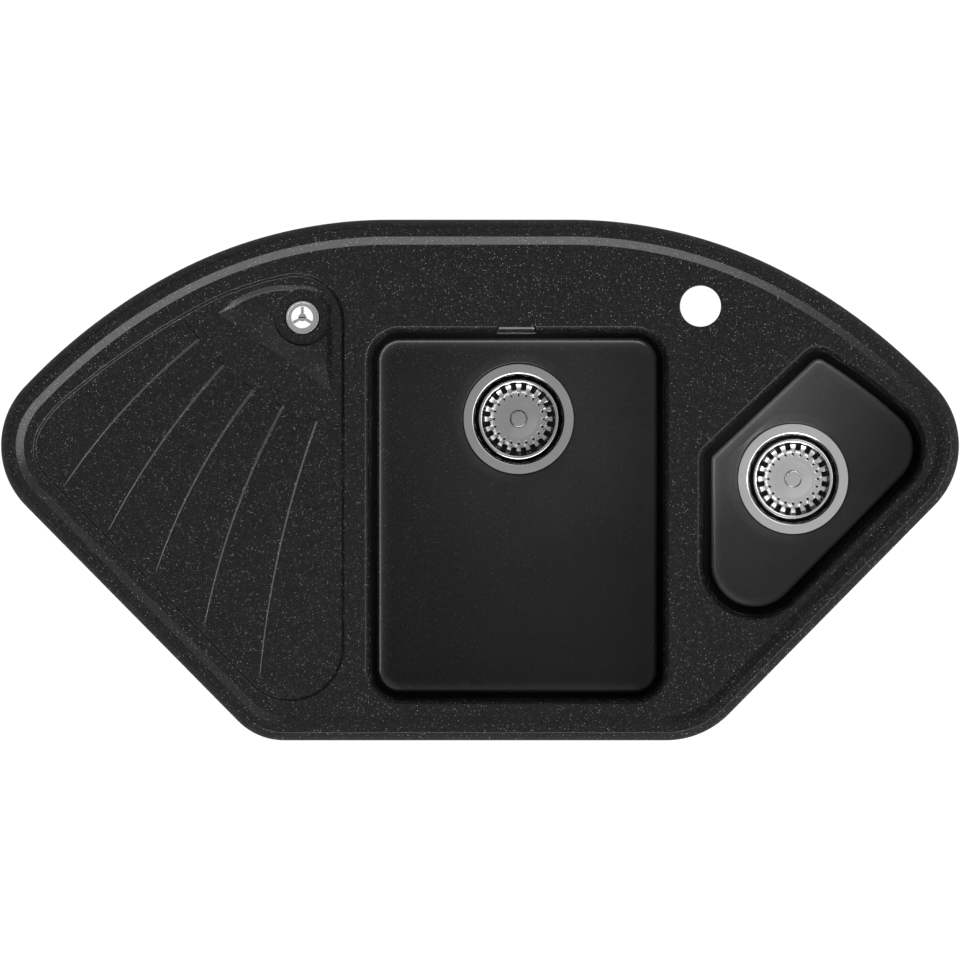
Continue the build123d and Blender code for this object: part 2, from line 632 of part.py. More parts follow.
def add_overflow(parts):
    half = overflow_plate_width / 2
    z0, z1 = overflow_plate_z
    front, back = overflow_plate_y, overflow_plate_y + overflow_plate_thick
    place = Pos(overflow_x, 0, 0)
    screw_at = Pos(overflow_x, 0, overflow_screw_z)

    plate = box_between((-half, half), (front, back), (z0, z1))
    plate = fillet(plate.edges().filter_by(Axis.Y), 2.0)
    for z in overflow_slot_z:
        plate -= Pos(0, front, z) * Box(overflow_slot_wide, 10, overflow_slot_high)
    plate -= Pos(0, 0, overflow_screw_z) * along_y(overflow_screw_radius + 0.15, front - 5, back + 5)
    parts["overflow_cover"] = place * plate

    head = along_y(overflow_screw_head, front - 2.2, front)
    head -= Pos(0, front - 2.2, 0) * Box(2 * overflow_screw_head + 2, 2.0, 1.0)
    parts["overflow_screw"] = screw_at * (head + along_y(overflow_screw_radius, front, overflow_screw_end))

    g0 = overflow_boss_y
    g1 = g0 + overflow_gasket_thick
    gasket = box_between((-overflow_ring_half, overflow_ring_half), (g0, g1), overflow_ring_z)
    duct = box_between((-overflow_duct_width / 2 - 1, overflow_duct_width / 2 + 1), (g0 - 1, g1 + 1),
                       (overflow_duct_z[0] - 1, overflow_duct_z[1] + 0.5))
    parts["overflow_gasket"] = place * (gasket - duct)

    w = overflow_box_wall
    b0, b1 = overflow_box_z
    end = g1 + overflow_box_deep
    body = box_between((-overflow_ring_half, overflow_ring_half), (g1, g1 + overflow_ring_thick), overflow_ring_z)
    box = box_between((-overflow_box_half, overflow_box_half), (g1, end), (b0, b1))
    body += fillet(box.edges().filter_by(Axis.Z).group_by(Axis.Y)[-1], 4.0)
    spigot_y = end - inlet_radius - 1
    body += Pos(0, spigot_y, (b0 + overflow_spigot_foot) / 2 + 1) * Cylinder(
        inlet_radius, b0 - overflow_spigot_foot + 2
    )
    body -= box_between((-overflow_box_half + w, overflow_box_half - w), (g1 - 1, end - w), (b0 + w, b1 - w))
    body -= Pos(0, spigot_y, (b0 + overflow_spigot_foot) / 2) * Cylinder(
        inlet_inside, b0 - overflow_spigot_foot + 2 * w + 2
    )
    boss = Pos(0, 0, overflow_screw_z) * along_y(4.0, g1 + 4, end - w / 2)
    hole = Pos(0, 0, overflow_screw_z) * along_y(overflow_screw_radius + 0.05, g1, overflow_screw_end + 1)
    parts["overflow_body"] = place * (body + boss - hole)


# ---- drain in the drainer ------------------------------------------------------------------------

def spokes(wide, reach, top, foot):
    return Pos(0, 0, (top + foot) / 2) * PolarLocations(reach / 2, 3, start_angle=90) * Box(
        reach, wide, top - foot
    )


def add_drainer_drain(parts):
    place = Pos(*well_centre, well_floor_z)
    seat = -well_seat_drop
    rim = turned([
        (rosette_open, seat), (rosette_radius, seat), (rosette_radius, rosette_high), (rosette_ring, rosette_high),
        (rosette_ring, rosette_step), (rosette_open, rosette_step),
    ])
    cross = Pos(0, 0, -0.55) * Cylinder(rosette_hub, 1.3) + spokes(rosette_spoke, rosette_open + 0.5, -0.1, seat)
    bore = Cylinder(rosette_screw_shank + 0.15, 20)
    parts["rosette"] = place * (rim + cross - bore)

    head = Pos(0, 0, 0.1 + 0.8) * Cylinder(rosette_screw_head, 1.6) - Pos(0, 0, 1.7) * Box(9, 1.0, 1.6)
    shank = Pos(0, 0, -12.9) * Cylinder(rosette_screw_shank, 26.0)
    parts["rosette_screw"] = place * (head + shank)

    under = well_boss_bottom - well_floor_z
    parts["rosette_gasket"] = place * ring(well_hole + 0.6, rosette_gasket_radius, under, rosette_gasket_thick)

    top = under - rosette_gasket_thick
    tail = ring(tail_inside, rosette_gasket_radius, top, tail_ring_thick)
    tail += ring(tail_inside, tail_radius, top, top - tail_foot)
    tail += spokes(tail_rib, (tail_inside + tail_radius) / 2, top - 2, tail_boss_foot)
    tail += Pos(0, 0, (top - 1 + tail_boss_foot) / 2) * Cylinder(tail_boss, top - 1 - tail_boss_foot)
    tail -= Pos(0, 0, -17) * Cylinder(rosette_screw_shank + 0.05, 22)
    parts["drainer_tail"] = place * tail


# ---- clips ---------------------------------------------------------------------------------------

def add_clips(parts):
    x0, x1 = clip_reach
    half = clip_width / 2
    foot_top = -worktop_thick - clip_gap
    sheet = clip_sheet
    bar = box_between((x0, x1), (-half, half), (foot_top - sheet, foot_top))
    leg = box_between((x0, x0 + sheet), (-half, half), (foot_top - sheet, pad_bottom))
    lip = box_between((x1 - sheet, x1), (-half, half), (foot_top - sheet - 3, foot_top))
    at = Pos(clip_screw_x, 0, 0)
    bracket = bar + leg + lip - at * prism(clip_screw_radius + 0.4, 8, foot_top + sheet, foot_top - 2 * sheet)
    # a hexagon head with a slot, small enough that its shank and the insert have flat sides too
    head_top, shank_top = foot_top - sheet, clip_insert_top - sheet
    screw = prism(clip_head_radius, 6, head_top, head_top - clip_head_high)
    screw -= Pos(0, 0, head_top - clip_head_high) * Box(3 * clip_head_radius, clip_slot, 2 * clip_slot)
    screw += prism(clip_screw_radius, 8, shank_top, head_top)
    sleeve = prism(clip_insert_radius, 6, clip_insert_top, pad_bottom)
    sleeve -= prism(clip_screw_radius + 0.05, 8, clip_insert_top + 1, pad_bottom - 1)
    for name, piece in (("clip_brackets", bracket), ("clip_screws", at * screw), ("clip_inserts", at * sleeve)):
        parts[name] = Compound(children=[
            (clip_frame(spot) * piece).solids()[0] for spot in clip_places()
        ])


# ---- all pieces ----------------------------------------------------------------------------------

parts = {"sink_body": sink_body()}
add_waste(parts, "main", main_drain, deck_top - main_depth, main_inlets)
add_waste(parts, "small", small_drain, deck_top - small_depth, ())
add_overflow(parts)
add_drainer_drain(parts)
add_clips(parts)
for name, shape in parts.items():
    export_step(shape, f"parts/{name}.step")
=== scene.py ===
import json
import math

import bmesh
import bpy
import numpy as np
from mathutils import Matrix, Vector
from mathutils.geometry import delaunay_2d_cdt


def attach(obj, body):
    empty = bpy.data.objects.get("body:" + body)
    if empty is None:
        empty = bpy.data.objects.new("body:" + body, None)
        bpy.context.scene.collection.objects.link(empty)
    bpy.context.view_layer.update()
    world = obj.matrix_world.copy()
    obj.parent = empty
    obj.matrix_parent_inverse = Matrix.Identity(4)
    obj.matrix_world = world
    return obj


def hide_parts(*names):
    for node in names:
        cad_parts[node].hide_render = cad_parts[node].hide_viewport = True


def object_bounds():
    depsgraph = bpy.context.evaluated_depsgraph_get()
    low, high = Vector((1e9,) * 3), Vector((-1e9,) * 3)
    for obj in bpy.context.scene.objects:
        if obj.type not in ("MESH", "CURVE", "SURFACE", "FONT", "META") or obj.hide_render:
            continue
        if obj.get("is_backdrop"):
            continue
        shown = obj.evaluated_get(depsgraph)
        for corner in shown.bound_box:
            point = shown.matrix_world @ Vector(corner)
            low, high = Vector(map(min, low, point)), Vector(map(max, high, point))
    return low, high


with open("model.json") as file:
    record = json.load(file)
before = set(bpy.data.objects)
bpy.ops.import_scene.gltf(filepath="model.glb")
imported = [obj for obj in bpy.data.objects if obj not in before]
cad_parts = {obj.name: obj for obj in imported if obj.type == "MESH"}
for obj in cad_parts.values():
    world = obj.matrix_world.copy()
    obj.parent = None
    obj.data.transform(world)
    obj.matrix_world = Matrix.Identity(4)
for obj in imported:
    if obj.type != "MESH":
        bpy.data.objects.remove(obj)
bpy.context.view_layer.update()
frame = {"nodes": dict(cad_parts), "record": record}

print("frame loaded:", len(frame["nodes"]), "nodes")

mm = 0.001                                      # lengths below are in millimetres
meshing = {"step": 6.0, "turn": 3.0, "arcStep": 10.0, "sharp": 30.0, "weld": 0.004}


def unit(degrees):
    return np.array([math.cos(math.radians(degrees)), math.sin(math.radians(degrees))])


def angleOf(vector):
    return math.atan2(vector[1], vector[0])


def leftOf(a, b):
    # unit vector to the left of the way from a to b
    run = np.subtract(b, a)
    return np.array([-run[1], run[0]]) / np.linalg.norm(run)


def polar(centre, radius, t):
    # centre + radius (cos t, sin t), t in radians
    return np.asarray(centre) + np.c_[radius * np.cos(t), radius * np.sin(t)]


def circle(centre, radius, count):
    return polar(centre, radius, np.linspace(0, 2 * np.pi, count, endpoint=False))


def atHeight(points, z):
    return np.c_[points, np.broadcast_to(z, len(points))]


def between(pair, k):
    return pair[0] + (pair[1] - pair[0]) * k


def smooth(t):
    # 3t^2 - 2t^3, level at 0 and at 1
    t = np.clip(t, 0.0, 1.0)
    return t * t * (3 - 2 * t)


def stepDown(t, soft):
    # from 0 to 1 with one even slope, and at each end an arc that takes the share soft of the way
    t = np.clip(t, 0.0, 1.0)
    rise = np.minimum(t, 1 - t)
    half = np.where(rise < soft, rise * rise / (2 * soft), rise - soft / 2) / (1 - soft)
    return np.where(t < 0.5, half, 1 - half)


def arcThrough(a, bend, b):
    # the circle through three points: its centre, its radius and the angles of a and b
    d = 2 * (a[0] * (b[1] - bend[1]) + b[0] * (bend[1] - a[1]) + bend[0] * (a[1] - b[1]))
    sa, sb, sc = (p[0] ** 2 + p[1] ** 2 for p in (a, b, bend))
    cx = (sa * (b[1] - bend[1]) + sb * (bend[1] - a[1]) + sc * (a[1] - b[1])) / d
    cy = (sa * (bend[0] - b[0]) + sb * (a[0] - bend[0]) + sc * (b[0] - a[0])) / d
    centre = np.array([cx, cy])
    first, last = angleOf(a - centre), angleOf(b - centre)
    last += 2 * np.pi * round((first - last) / (2 * np.pi))
    return centre, math.hypot(a[0] - cx, a[1] - cy), first, last


def within(points, loop):
    # even-odd rule: an odd number of the loop's sides crossed by a ray to the right
    x, y = points[:, 0, None], points[:, 1, None]
    ax, ay = loop[:, 0], loop[:, 1]
    bx, by = np.roll(ax, -1), np.roll(ay, -1)
    crosses = (ay > y) != (by > y)
    with np.errstate(divide="ignore", invalid="ignore"):
        at = (bx - ax) * (y - ay) / (by - ay) + ax
    return (crosses & (x < at)).sum(axis=1) % 2 == 1


def along(outline, grow):
    # an outline is a list of arcs (centre x, centre y, radius, from, to in degrees of the outward
    # direction), anticlockwise, with tangent lines between them. Its points moved out by grow are
    # centre + (radius + grow) (cos, sin) on an arc, and even steps on a line; an arc that grow takes
    # past its centre becomes the point where its end tangents cross, and so do its neighbours' points
    # beyond them
    parts, corners = [], []
    for i, (cx, cy, radius, start, end) in enumerate(outline):
        span = math.radians(end - start)
        count = max(2, *map(math.ceil, ((end - start) / meshing["turn"], span * radius / meshing["arcStep"])))
        t = np.radians(np.linspace(start, end, count + 1))
        reach = radius + grow
        if reach < 0:
            corners.append((len(parts), t[0], t[-1]))
            reach /= math.cos(span / 2)
            t = t * 0 + t.mean()
        parts.append(polar((cx, cy), reach, t))
        nx, ny, nextRadius, nextStart, _ = outline[(i + 1) % len(outline)]
        a, b = (cx, cy) + radius * unit(end), (nx, ny) + nextRadius * unit(nextStart)
        gap = np.linalg.norm(b - a)
        count = math.ceil(gap / meshing["step"])
        if gap > 0.01 and count > 1:
            share = np.linspace(0, 1, count + 1)[1:-1, None]
            parts.append(a + (b - a) * share + unit(end) * grow)
    for at, first, last in corners:
        for part, angle, side in ((parts[at - 1], first, 1), (parts[(at + 1) % len(parts)], last, -1)):
            beyond = (part - parts[at][0]) @ (-math.sin(angle), math.cos(angle)) * side > 0
            part[beyond] = parts[at][0]
    return np.concatenate(parts)


def swept(outline, profile):
    # rings: the outline moved out by the profile's first number, at the height of its second
    return [atHeight(along(outline, grow), z) for grow, z in profile]


def gridQuads(high, wide):
    # the corners of a grid's cells, for rows that are closed on themselves
    i, j = np.meshgrid(np.arange(high - 1), np.arange(wide), indexing="ij")
    k = (j + 1) % wide
    return np.stack([i * wide + j, i * wide + k, (i + 1) * wide + k, (i + 1) * wide + j], -1)


class Shell:
    # patches in millimetres that share edges, welded into one closed mesh
    def __init__(self):
        self.points, self.faces, self.count = [], [], 0

    def add(self, points, faces):
        self.points.append(np.asarray(points, float))
        self.faces += [tuple(int(i) + self.count for i in face) for face in faces]
        self.count += len(points)

    def rows(self, rows):
        rows = np.asarray(rows, float)
        self.add(rows.reshape(-1, 3), gridQuads(*rows.shape[:2]).reshape(-1, 4))

    def fill(self, loops, height, lines=()):
        # triangles inside the first loop and outside the others; height is a number or a function of
        # the points; lines are open polylines that the triangles' edges follow
        points, edges, rings = [], [], []
        for loop in loops:
            rings.append(list(range(len(points), len(points) + len(loop))))
            points += [Vector(p) for p in loop]
        for line in lines:
            edges += [(i, i + 1) for i in range(len(points), len(points) + len(line) - 1)]
            points += [Vector(p) for p in line]
        made, _, faces, _, _, holders = delaunay_2d_cdt(points, edges, rings, 0, 1e-6, True)
        flat = np.array([(v.x, v.y) for v in made])
        kept = [face for face, holder in zip(faces, holders) if list(holder) == [0]]
        self.add(atHeight(flat, height(flat) if callable(height) else height), kept)

    def box(self, low, high, place=lambda corners: corners):
        # a closed block with its corners at low and high, then put in its place
        (x0, y0, z0), (x1, y1, z1) = low, high
        square = (x0, y0), (x1, y0), (x1, y1), (x0, y1)
        corners = np.array([(x, y, z) for z in (z0, z1) for x, y in square], float)
        sides = [(i, (i + 1) % 4, (i + 1) % 4 + 4, i + 4) for i in range(4)]
        self.add(place(corners), [(3, 2, 1, 0), (4, 5, 6, 7), *sides])

    def make(self, name, body, material, thick=0.0):
        mesh = bpy.data.meshes.new(name)
        mesh.from_pydata((np.concatenate(self.points) * mm).tolist(), [], self.faces)
        weld = meshing["weld"] * mm
        work = bmesh.new()
        work.from_mesh(mesh)
        bmesh.ops.remove_doubles(work, verts=work.verts, dist=weld)
        bmesh.ops.dissolve_degenerate(work, edges=work.edges, dist=weld / 10)
        bmesh.ops.recalc_face_normals(work, faces=work.faces)
        bmesh.ops.delete(work, geom=[v for v in work.verts if not v.link_faces], context="VERTS")
        openEdges = sum(1 for e in work.edges if len(e.link_faces) != 2)
        work.to_mesh(mesh)
        work.free()
        mesh.shade_smooth()
        mesh.set_sharp_from_angle(angle=math.radians(meshing["sharp"]))
        piece = bpy.data.objects.new(name, mesh)
        bpy.context.scene.collection.objects.link(piece)
        mesh.materials.append(material)
        if thick:
            sheet = piece.modifiers.new("sheet", "SOLIDIFY")
            sheet.thickness, sheet.offset, sheet.use_even_offset = thick * mm, -1.0, True
        even = piece.modifiers.new("even normals", "WEIGHTED_NORMAL")
        even.keep_sharp = True
        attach(piece, body)
        print(name, len(mesh.vertices), "points,", len(mesh.polygons), "faces, open edges", openEdges)
        return piece


def feed(tree, slot, value):
    if isinstance(value, Flow):
        tree.links.new(value.socket, slot)
    else:
        slot.default_value = value


class Flow:
    # a shader socket that takes part in Python arithmetic
    def __init__(self, tree, socket):
        self.tree, self.socket = tree, socket

    def maths(self, operation, *others):
        node = self.tree.nodes.new("ShaderNodeMath")
        node.operation = operation
        for slot, value in zip(node.inputs, (self, *others)):
            feed(self.tree, slot, value)
        return Flow(self.tree, node.outputs[0])

    def __add__(self, other): return self.maths("ADD", other)
    def __sub__(self, other): return self.maths("SUBTRACT", other)
    def __rsub__(self, other): return (self - other) * -1.0
    def __mul__(self, other): return self.maths("MULTIPLY", other)
    def __truediv__(self, other): return self.maths("DIVIDE", other)
    def __pow__(self, other): return self.maths("POWER", other)
    def __gt__(self, other): return self.maths("GREATER_THAN", other)
    __radd__, __rmul__ = __add__, __mul__


class Graph:
    # a node tree whose nodes are added by type, settings and values
    def __init__(self, tree):
        self.tree = tree
        tree.nodes.clear()

    def node(self, kind, settings=None, values=None, out=0):
        made = self.tree.nodes.new(kind)
        for name, value in (settings or {}).items():
            setattr(made, name, value)
        for name, value in (values or {}).items():
            feed(self.tree, made.inputs[name], value)
        if isinstance(out, tuple):
            return [Flow(self.tree, made.outputs[name]) for name in out]
        return Flow(self.tree, made.outputs[out]) if len(made.outputs) else made

    def place(self):
        return self.node("ShaderNodeTexCoord", out="Object")

    def parts(self, vector):
        return self.node("ShaderNodeSeparateXYZ", {}, {0: vector}, out=(0, 1, 2))

    def eased(self, value, low, high, fromLow=0.0, fromHigh=1.0):
        # value from low..high to fromLow..fromHigh by a smooth step
        return self.node("ShaderNodeMapRange", {"interpolation_type": "SMOOTHSTEP"}, {
            "Value": value, "From Min": low, "From Max": high, "To Min": fromLow, "To Max": fromHigh})

    def blend(self, factor, first, second):
        return self.node("ShaderNodeMix", {"data_type": "RGBA"}, {"Factor": factor, 6: first, 7: second}, out=2)

    def noise(self, place, scale, detail=2.0, roughness=0.5):
        return self.node("ShaderNodeTexNoise", {}, {
            "Vector": place, "Scale": scale, "Detail": detail, "Roughness": roughness})

    def cells(self, place, scale):
        # distance to the nearest cell's middle, and that cell's three random numbers
        far, tint = self.node("ShaderNodeTexVoronoi", {"feature": "F1"}, {"Vector": place, "Scale": scale},
                              out=("Distance", "Color"))
        return far, self.parts(tint)

    def bumps(self, height, strength, distance):
        return self.node("ShaderNodeBump", {}, {"Strength": strength, "Distance": distance, "Height": height})

    def surface(self, colour, roughness, normal, metallic=0.0, gloss=0.5):
        return self.node("ShaderNodeBsdfPrincipled", {}, {
            "Base Color": colour, "Roughness": roughness, "Metallic": metallic, "Normal": normal,
            "Specular IOR Level": gloss})

    def mixed(self, share, first, second):
        return self.node("ShaderNodeMixShader", {}, {0: share, 1: first, 2: second})

    def output(self, shader, kind="ShaderNodeOutputMaterial"):
        self.node(kind, {}, {"Surface": shader})


def material(name):
    made = bpy.data.materials.new(name)
    made.use_nodes = True
    return made, Graph(made.node_tree)


def grey(value):
    return (value, value, value, 1.0)


graniteLook = {
    "base": 0.0019, "cloud": 0.0006, "grain": 0.23, "dust": 0.035, "grainSize": 600.0, "dustSize": 1300.0,
    "gloss": 0.30, "roughness": 0.31, "bump": 0.00012,
    # painted light on a bowl's floor, a paler grey in place of the light that the bowl's depth keeps from it:
    # its grey, and the heights between which it sets in
    "bloom": {"main": (0.034, -0.172, -0.184), "small": (0.080, -0.114, -0.124)},
    # upright walls: share and grey of a painted shade that darkens them, gloss, roughness, and the normal's z
    # where they begin
    "wallShadeShare": 0.45, "wallShadeGrey": 0.0005, "wallGloss": 0.02, "wallRough": 0.8, "wallRise": (0.56, 0.22),
}


def graniteMaterial():
    # grains and finer dust are the cells of two patterns whose random number is high enough
    look = graniteLook
    made, g = material("granite composite")
    place = g.place()
    x, y, z = g.parts(place)
    shallow = g.eased(z, -0.12, -0.01, 0.45, 1.0)         # fewer grains show on the bowls' floors
    coarse, (pick, size, _) = g.cells(place, look["grainSize"])
    grain = g.eased(pick, 0.66, 0.72) * g.eased(coarse, 0.33, 0.21) * (0.12 + size * size * 0.88) * shallow
    fine, (finePick, _, _) = g.cells(place, look["dustSize"])
    dust = g.eased(finePick, 0.60, 0.70) * g.eased(fine, 0.45, 0.28) * shallow
    cloud = g.noise(place, 18.0, 3.0)
    colour = g.blend(cloud, grey(look["base"] - look["cloud"]), grey(look["base"] + look["cloud"]))
    mainFloorLight, *mainLevels = look["bloom"]["main"]
    smallFloorLight, *smallLevels = look["bloom"]["small"]
    mainLitFloor, smallLitFloor = g.eased(z, *mainLevels), g.eased(z, *smallLevels) * (x > 0.2)
    patchy = 0.6 + cloud * 0.8
    # the bowls' floors are painted paler, the main one's more towards the right: painted light for the shade of
    # the deep bowls
    colour = g.blend(mainLitFloor * patchy * g.eased(x, -0.08, 0.15, 0.2, 1.0), colour, grey(mainFloorLight))
    colour = g.blend(smallLitFloor * patchy, colour, grey(smallFloorLight))
    colour = g.blend(grain, g.blend(dust, colour, grey(look["dust"])), grey(look["grain"]))
    rough = look["roughness"] + g.noise(place, 240.0) * 0.10 - 0.05
    rough = rough - grain * 0.08 - (mainLitFloor + smallLitFloor) * 0.09
    pores = g.noise(place, 1400.0, 2.0) + 0.5 * g.noise(place, 520.0, 1.0)
    normal = g.bumps(pores, 0.35, look["bump"])
    glossy = g.surface(colour, rough, normal, gloss=look["gloss"])
    # the upright walls of bowls and steps stay matt, so they mirror nothing at a flat angle, and their colour
    # is blended towards a darker grey: painted shade
    _, _, rise = g.parts(g.node("ShaderNodeNewGeometry", out="Normal"))
    paintedShadeWallColour = g.blend(look["wallShadeShare"], colour, grey(look["wallShadeGrey"]))
    matt = g.surface(paintedShadeWallColour, look["wallRough"], normal, gloss=look["wallGloss"])
    g.output(g.mixed(g.eased(rise, *look["wallRise"]), glossy, matt))
    return made


granite = graniteMaterial()


sink = {
    "width": 975.0, "depth": 530.0, "front": -12.0,
    "backRadius": 470.0, "backTurn": 28.2, "shoulderRadius": 583.0, "shoulderTurn": 18.6,
    "cornerRadius": 87.0, "sideSlope": 44.6, "frontRight": 90.0, "frontLeft": 66.0,
    "rimTop": 9.0, "bevel": (16.4, 24.7), "bevelRound": 1.2,
    # how far the bevel moves in, by the outline's bearing from the front
    "bevelShift": ((50, 0.8), (70, -0.4), (90, -2.0), (112, -1.2), (134, -0.2), (180, 0.3)),
    # the edge's lean from level, by distance in from the outline
    "edge": ((8.5, 0.0), (8.2, 20.0), (7.9, 35.0), (7.4, 42.0), (6.0, 43.5), (4.0, 44.5), (2.5, 46.0),
             (1.2, 48.0), (0.5, 54.0), (0.0, 72.0)),
    "deck": 5.0, "under": -5.0, "seat": 12.5, "hold": 0.7,
}


def sinkOutline():
    # tangent arcs from the back's middle: each centre lies on the last arc's end radius
    s = sink
    first = 90 - s["backTurn"]
    second = first - s["shoulderTurn"]
    sineFirst, sineSecond = math.sin(math.radians(s["backTurn"])), math.sin(math.radians(90 - second))
    half = s["width"] / 2 - (s["backRadius"] * sineFirst + s["shoulderRadius"] * (sineSecond - sineFirst)
                             + s["cornerRadius"] * (1 - sineSecond))
    back = np.array([half, s["front"] + s["depth"] - s["backRadius"]])
    shoulder = back + (s["backRadius"] - s["shoulderRadius"]) * unit(first)
    corner = shoulder + (s["shoulderRadius"] - s["cornerRadius"]) * unit(second)
    slope = s["sideSlope"]
    n = unit(-slope)

    def foot(radius):
        y = s["front"] + radius
        return (n @ corner + s["cornerRadius"] - radius - n[1] * y) / n[0], y

    arcs = [
        (*foot(s["frontRight"]), s["frontRight"], -90, -slope),
        (*corner, s["cornerRadius"], -slope, second),
        (*shoulder, s["shoulderRadius"], second, first),
        (*back, s["backRadius"], first, 90),
    ]
    arcs += [(-cx, cy, radius, 180 - end, 180 - start) for cx, cy, radius, start, end in arcs[::-1]]
    x, y = foot(s["frontLeft"])
    arcs[-1] = (-x, y, s["frontLeft"], 180 + slope, 270)
    return arcs, shoulder, corner


outline, shoulderCentre, cornerCentre = sinkOutline()
deck, under, hold = sink["deck"], sink["under"], sink["hold"]


def leaned(table, wide):
    # distances, and the heights that the leans add up to on the way: each width times its tangent
    share, lean = np.array(table).T
    rise = np.abs(np.diff(share)) * wide * np.tan(np.radians((lean[1:] + lean[:-1]) / 2))
    return share * wide, np.concatenate([[0.0], np.cumsum(rise)])


def sinkRim(shell):
    # from the foot of the seat out under the rim, up its edge, whose height is the integral of its lean,
    # over the flat and down the bevel; the bevel's distance from the edge varies with the bearing
    s = sink
    seat, top = s["seat"], s["rimTop"]
    profile = [(-seat - hold, under), (-seat, under), (-seat, under + 0.3), (-seat, -0.3), (-seat, 0.0),
               (-seat + 0.4, 0.0), (-1.0, 0.0), (-0.3, 0.1), (0.0, 0.5)]
    inward, fall = leaned(s["edge"], 1.0)
    profile += list(zip(-inward[::-1], (top - fall)[::-1]))
    flat = len(profile)
    (a, b), r = s["bevel"], s["bevelRound"]
    slope = math.atan2(top - deck, b - a)
    reach, t = r * math.tan(slope / 2), np.linspace(0, slope, 5)
    profile += [(-a + reach - r * math.sin(v), top - r * (1 - math.cos(v))) for v in t]
    profile += [(-b - reach + r * math.sin(v), deck + r * (1 - math.cos(v))) for v in t[::-1]]
    profile.append((-b - 1.5, deck))
    edge = along(outline, 0.0)
    out = along(outline, 1.0) - edge
    bearing = np.abs((np.degrees(np.arctan2(out[:, 1], out[:, 0])) + 90) % 360 - 180)
    shift = np.interp(bearing, *np.array(s["bevelShift"]).T)
    shift = np.convolve(np.concatenate([shift[-6:], shift, shift[:6]]), np.ones(13) / 13, "valid")
    rings = [atHeight(edge + out * (grow - shift * (flat <= i))[:, None], z)
             for i, (grow, z) in enumerate(profile)]
    shell.rows(rings)
    return rings[0][:, :2], rings[-1][:, :2]


bowls = {
    "mouth": 5.0, "wall": 8.5, "floor": 9.0, "skinRound": 9.0,
    # the mouth's lean from level by its share of the mouth's width, and the floor edge's by its share
    "mouthLean": ((1.0, 0.0), (0.97, 22.0), (0.93, 34.0), (0.82, 37.0), (0.6, 43.0), (0.38, 51.0), (0.2, 62.0),
                  (0.07, 76.0), (0.0, 84.0)),
    "floorLean": ((0.0, 82.0), (0.03, 70.0), (0.08, 56.0), (0.14, 40.0), (0.18, 32.0), (0.25, 25.0),
                  (0.31, 18.0), (0.4, 13.0), (0.55, 9.5), (0.7, 6.5), (0.85, 3.0), (1.0, 0.0)),
    "main": {"x": (-109.9, 185.2), "y": (31.7, 402.3), "corner": 29.0, "depth": 190.0, "draft": 1.6,
             "mouthWide": 7.3, "floorWide": 14.0, "drain": (39.3, 315.2)},
    "small": {"left": 227.7, "corners": (52.0, 49.0, 17.5, 15.0), "depth": 130.0, "draft": 3.8,
              "mouthWide": 6.2, "floorWide": 11.0, "drain": (318.6, 254.1),
              "backLine": ((229.0, 287.7), (330.8, 384.1)), "frontLine": ((447.1, 256.9), (319.9, 127.8)),
              "arcRadius": 526.0, "arcMiddle": (409.32, 341.88), "arcBearing": 51.0},
    "wasteHole": 47.5, "recess": 57.3, "recessDrop": 3.2, "dishWide": 9.0, "dishDrop": 1.2,
}


def mainOutline():
    b = bowls["main"]
    (x0, x1), (y0, y1), r = b["x"], b["y"], b["corner"]
    return [(x1 - r, y0 + r, r, -90, 0), (x1 - r, y1 - r, r, 0, 90),
            (x0 + r, y1 - r, r, 90, 180), (x0 + r, y0 + r, r, 180, 270)]


def smallOutline():
    # left line, front line, large arc and back line, each corner a circle tangent to its two sides
    b = bowls["small"]
    front, right, back, left = b["corners"]
    radius = b["arcRadius"]
    centre = b["arcMiddle"] - radius * unit(b["arcBearing"])

    def lineThrough(a, b):
        # outward unit normal and offset of a line through two points, moved in by the mouth's round
        n = leftOf(a, b)
        return n, n @ a - bowls["mouth"]

    def inCorner(n, c, r):
        # centre of a circle of radius r inside both the left line and another
        return np.linalg.solve(np.array([(-1.0, 0.0), n]), np.array([-b["left"] - r, c - r]))

    def inArc(n, c, r, axis):
        # centre of a circle of radius r inside both a line and the large arc, the farther one on the axis
        base, d = n * (c - r), np.array([-n[1], n[0]])
        o = base - centre
        h = o @ d
        root = math.sqrt(h * h - (o @ o - (radius - r) ** 2))
        return max((base + d * (-h + bend * root) for bend in (-1, 1)), key=lambda p: p[axis])

    (nb, cb), (nf, cf) = lineThrough(*b["backLine"]), lineThrough(*b["frontLine"])
    pRight, pBack = inArc(nf, cf, right, 0), inArc(nb, cb, back, 1)
    aFront, aRight, aTop, aBack = (math.degrees(angleOf(v)) for v in (nf, pRight - centre, pBack - centre, nb))
    return [(*inCorner(nf, cf, front), front, -180, aFront), (*pRight, right, aFront, aRight),
            (*centre, radius, aRight, aTop), (*pBack, back, aTop, aBack),
            (*inCorner(nb, cb, left), left, aBack, 180)]


def bowlProfile(shape):
    # crisp mouth that rolls into the drafted wall, floor's edge, in (distance out from the wall, height)
    lean = math.tan(math.radians(shape["draft"]))
    floor = deck - shape["depth"]
    out, fall = leaned(bowls["mouthLean"], shape["mouthWide"])
    profile = [(shape["mouthWide"] + hold, deck), *zip(out, deck - fall)]
    start = deck - fall[-1]
    inward, fall = leaned(bowls["floorLean"], shape["floorWide"])
    foot = floor + fall[-1]
    end = -(start - foot) * lean
    profile += [(end * k, start * (1 - k) + foot * k) for k in (0.1, 0.5, 0.9)]
    profile += zip(end - inward, foot - fall)
    profile.append((profile[-1][0] - hold, floor))
    return profile


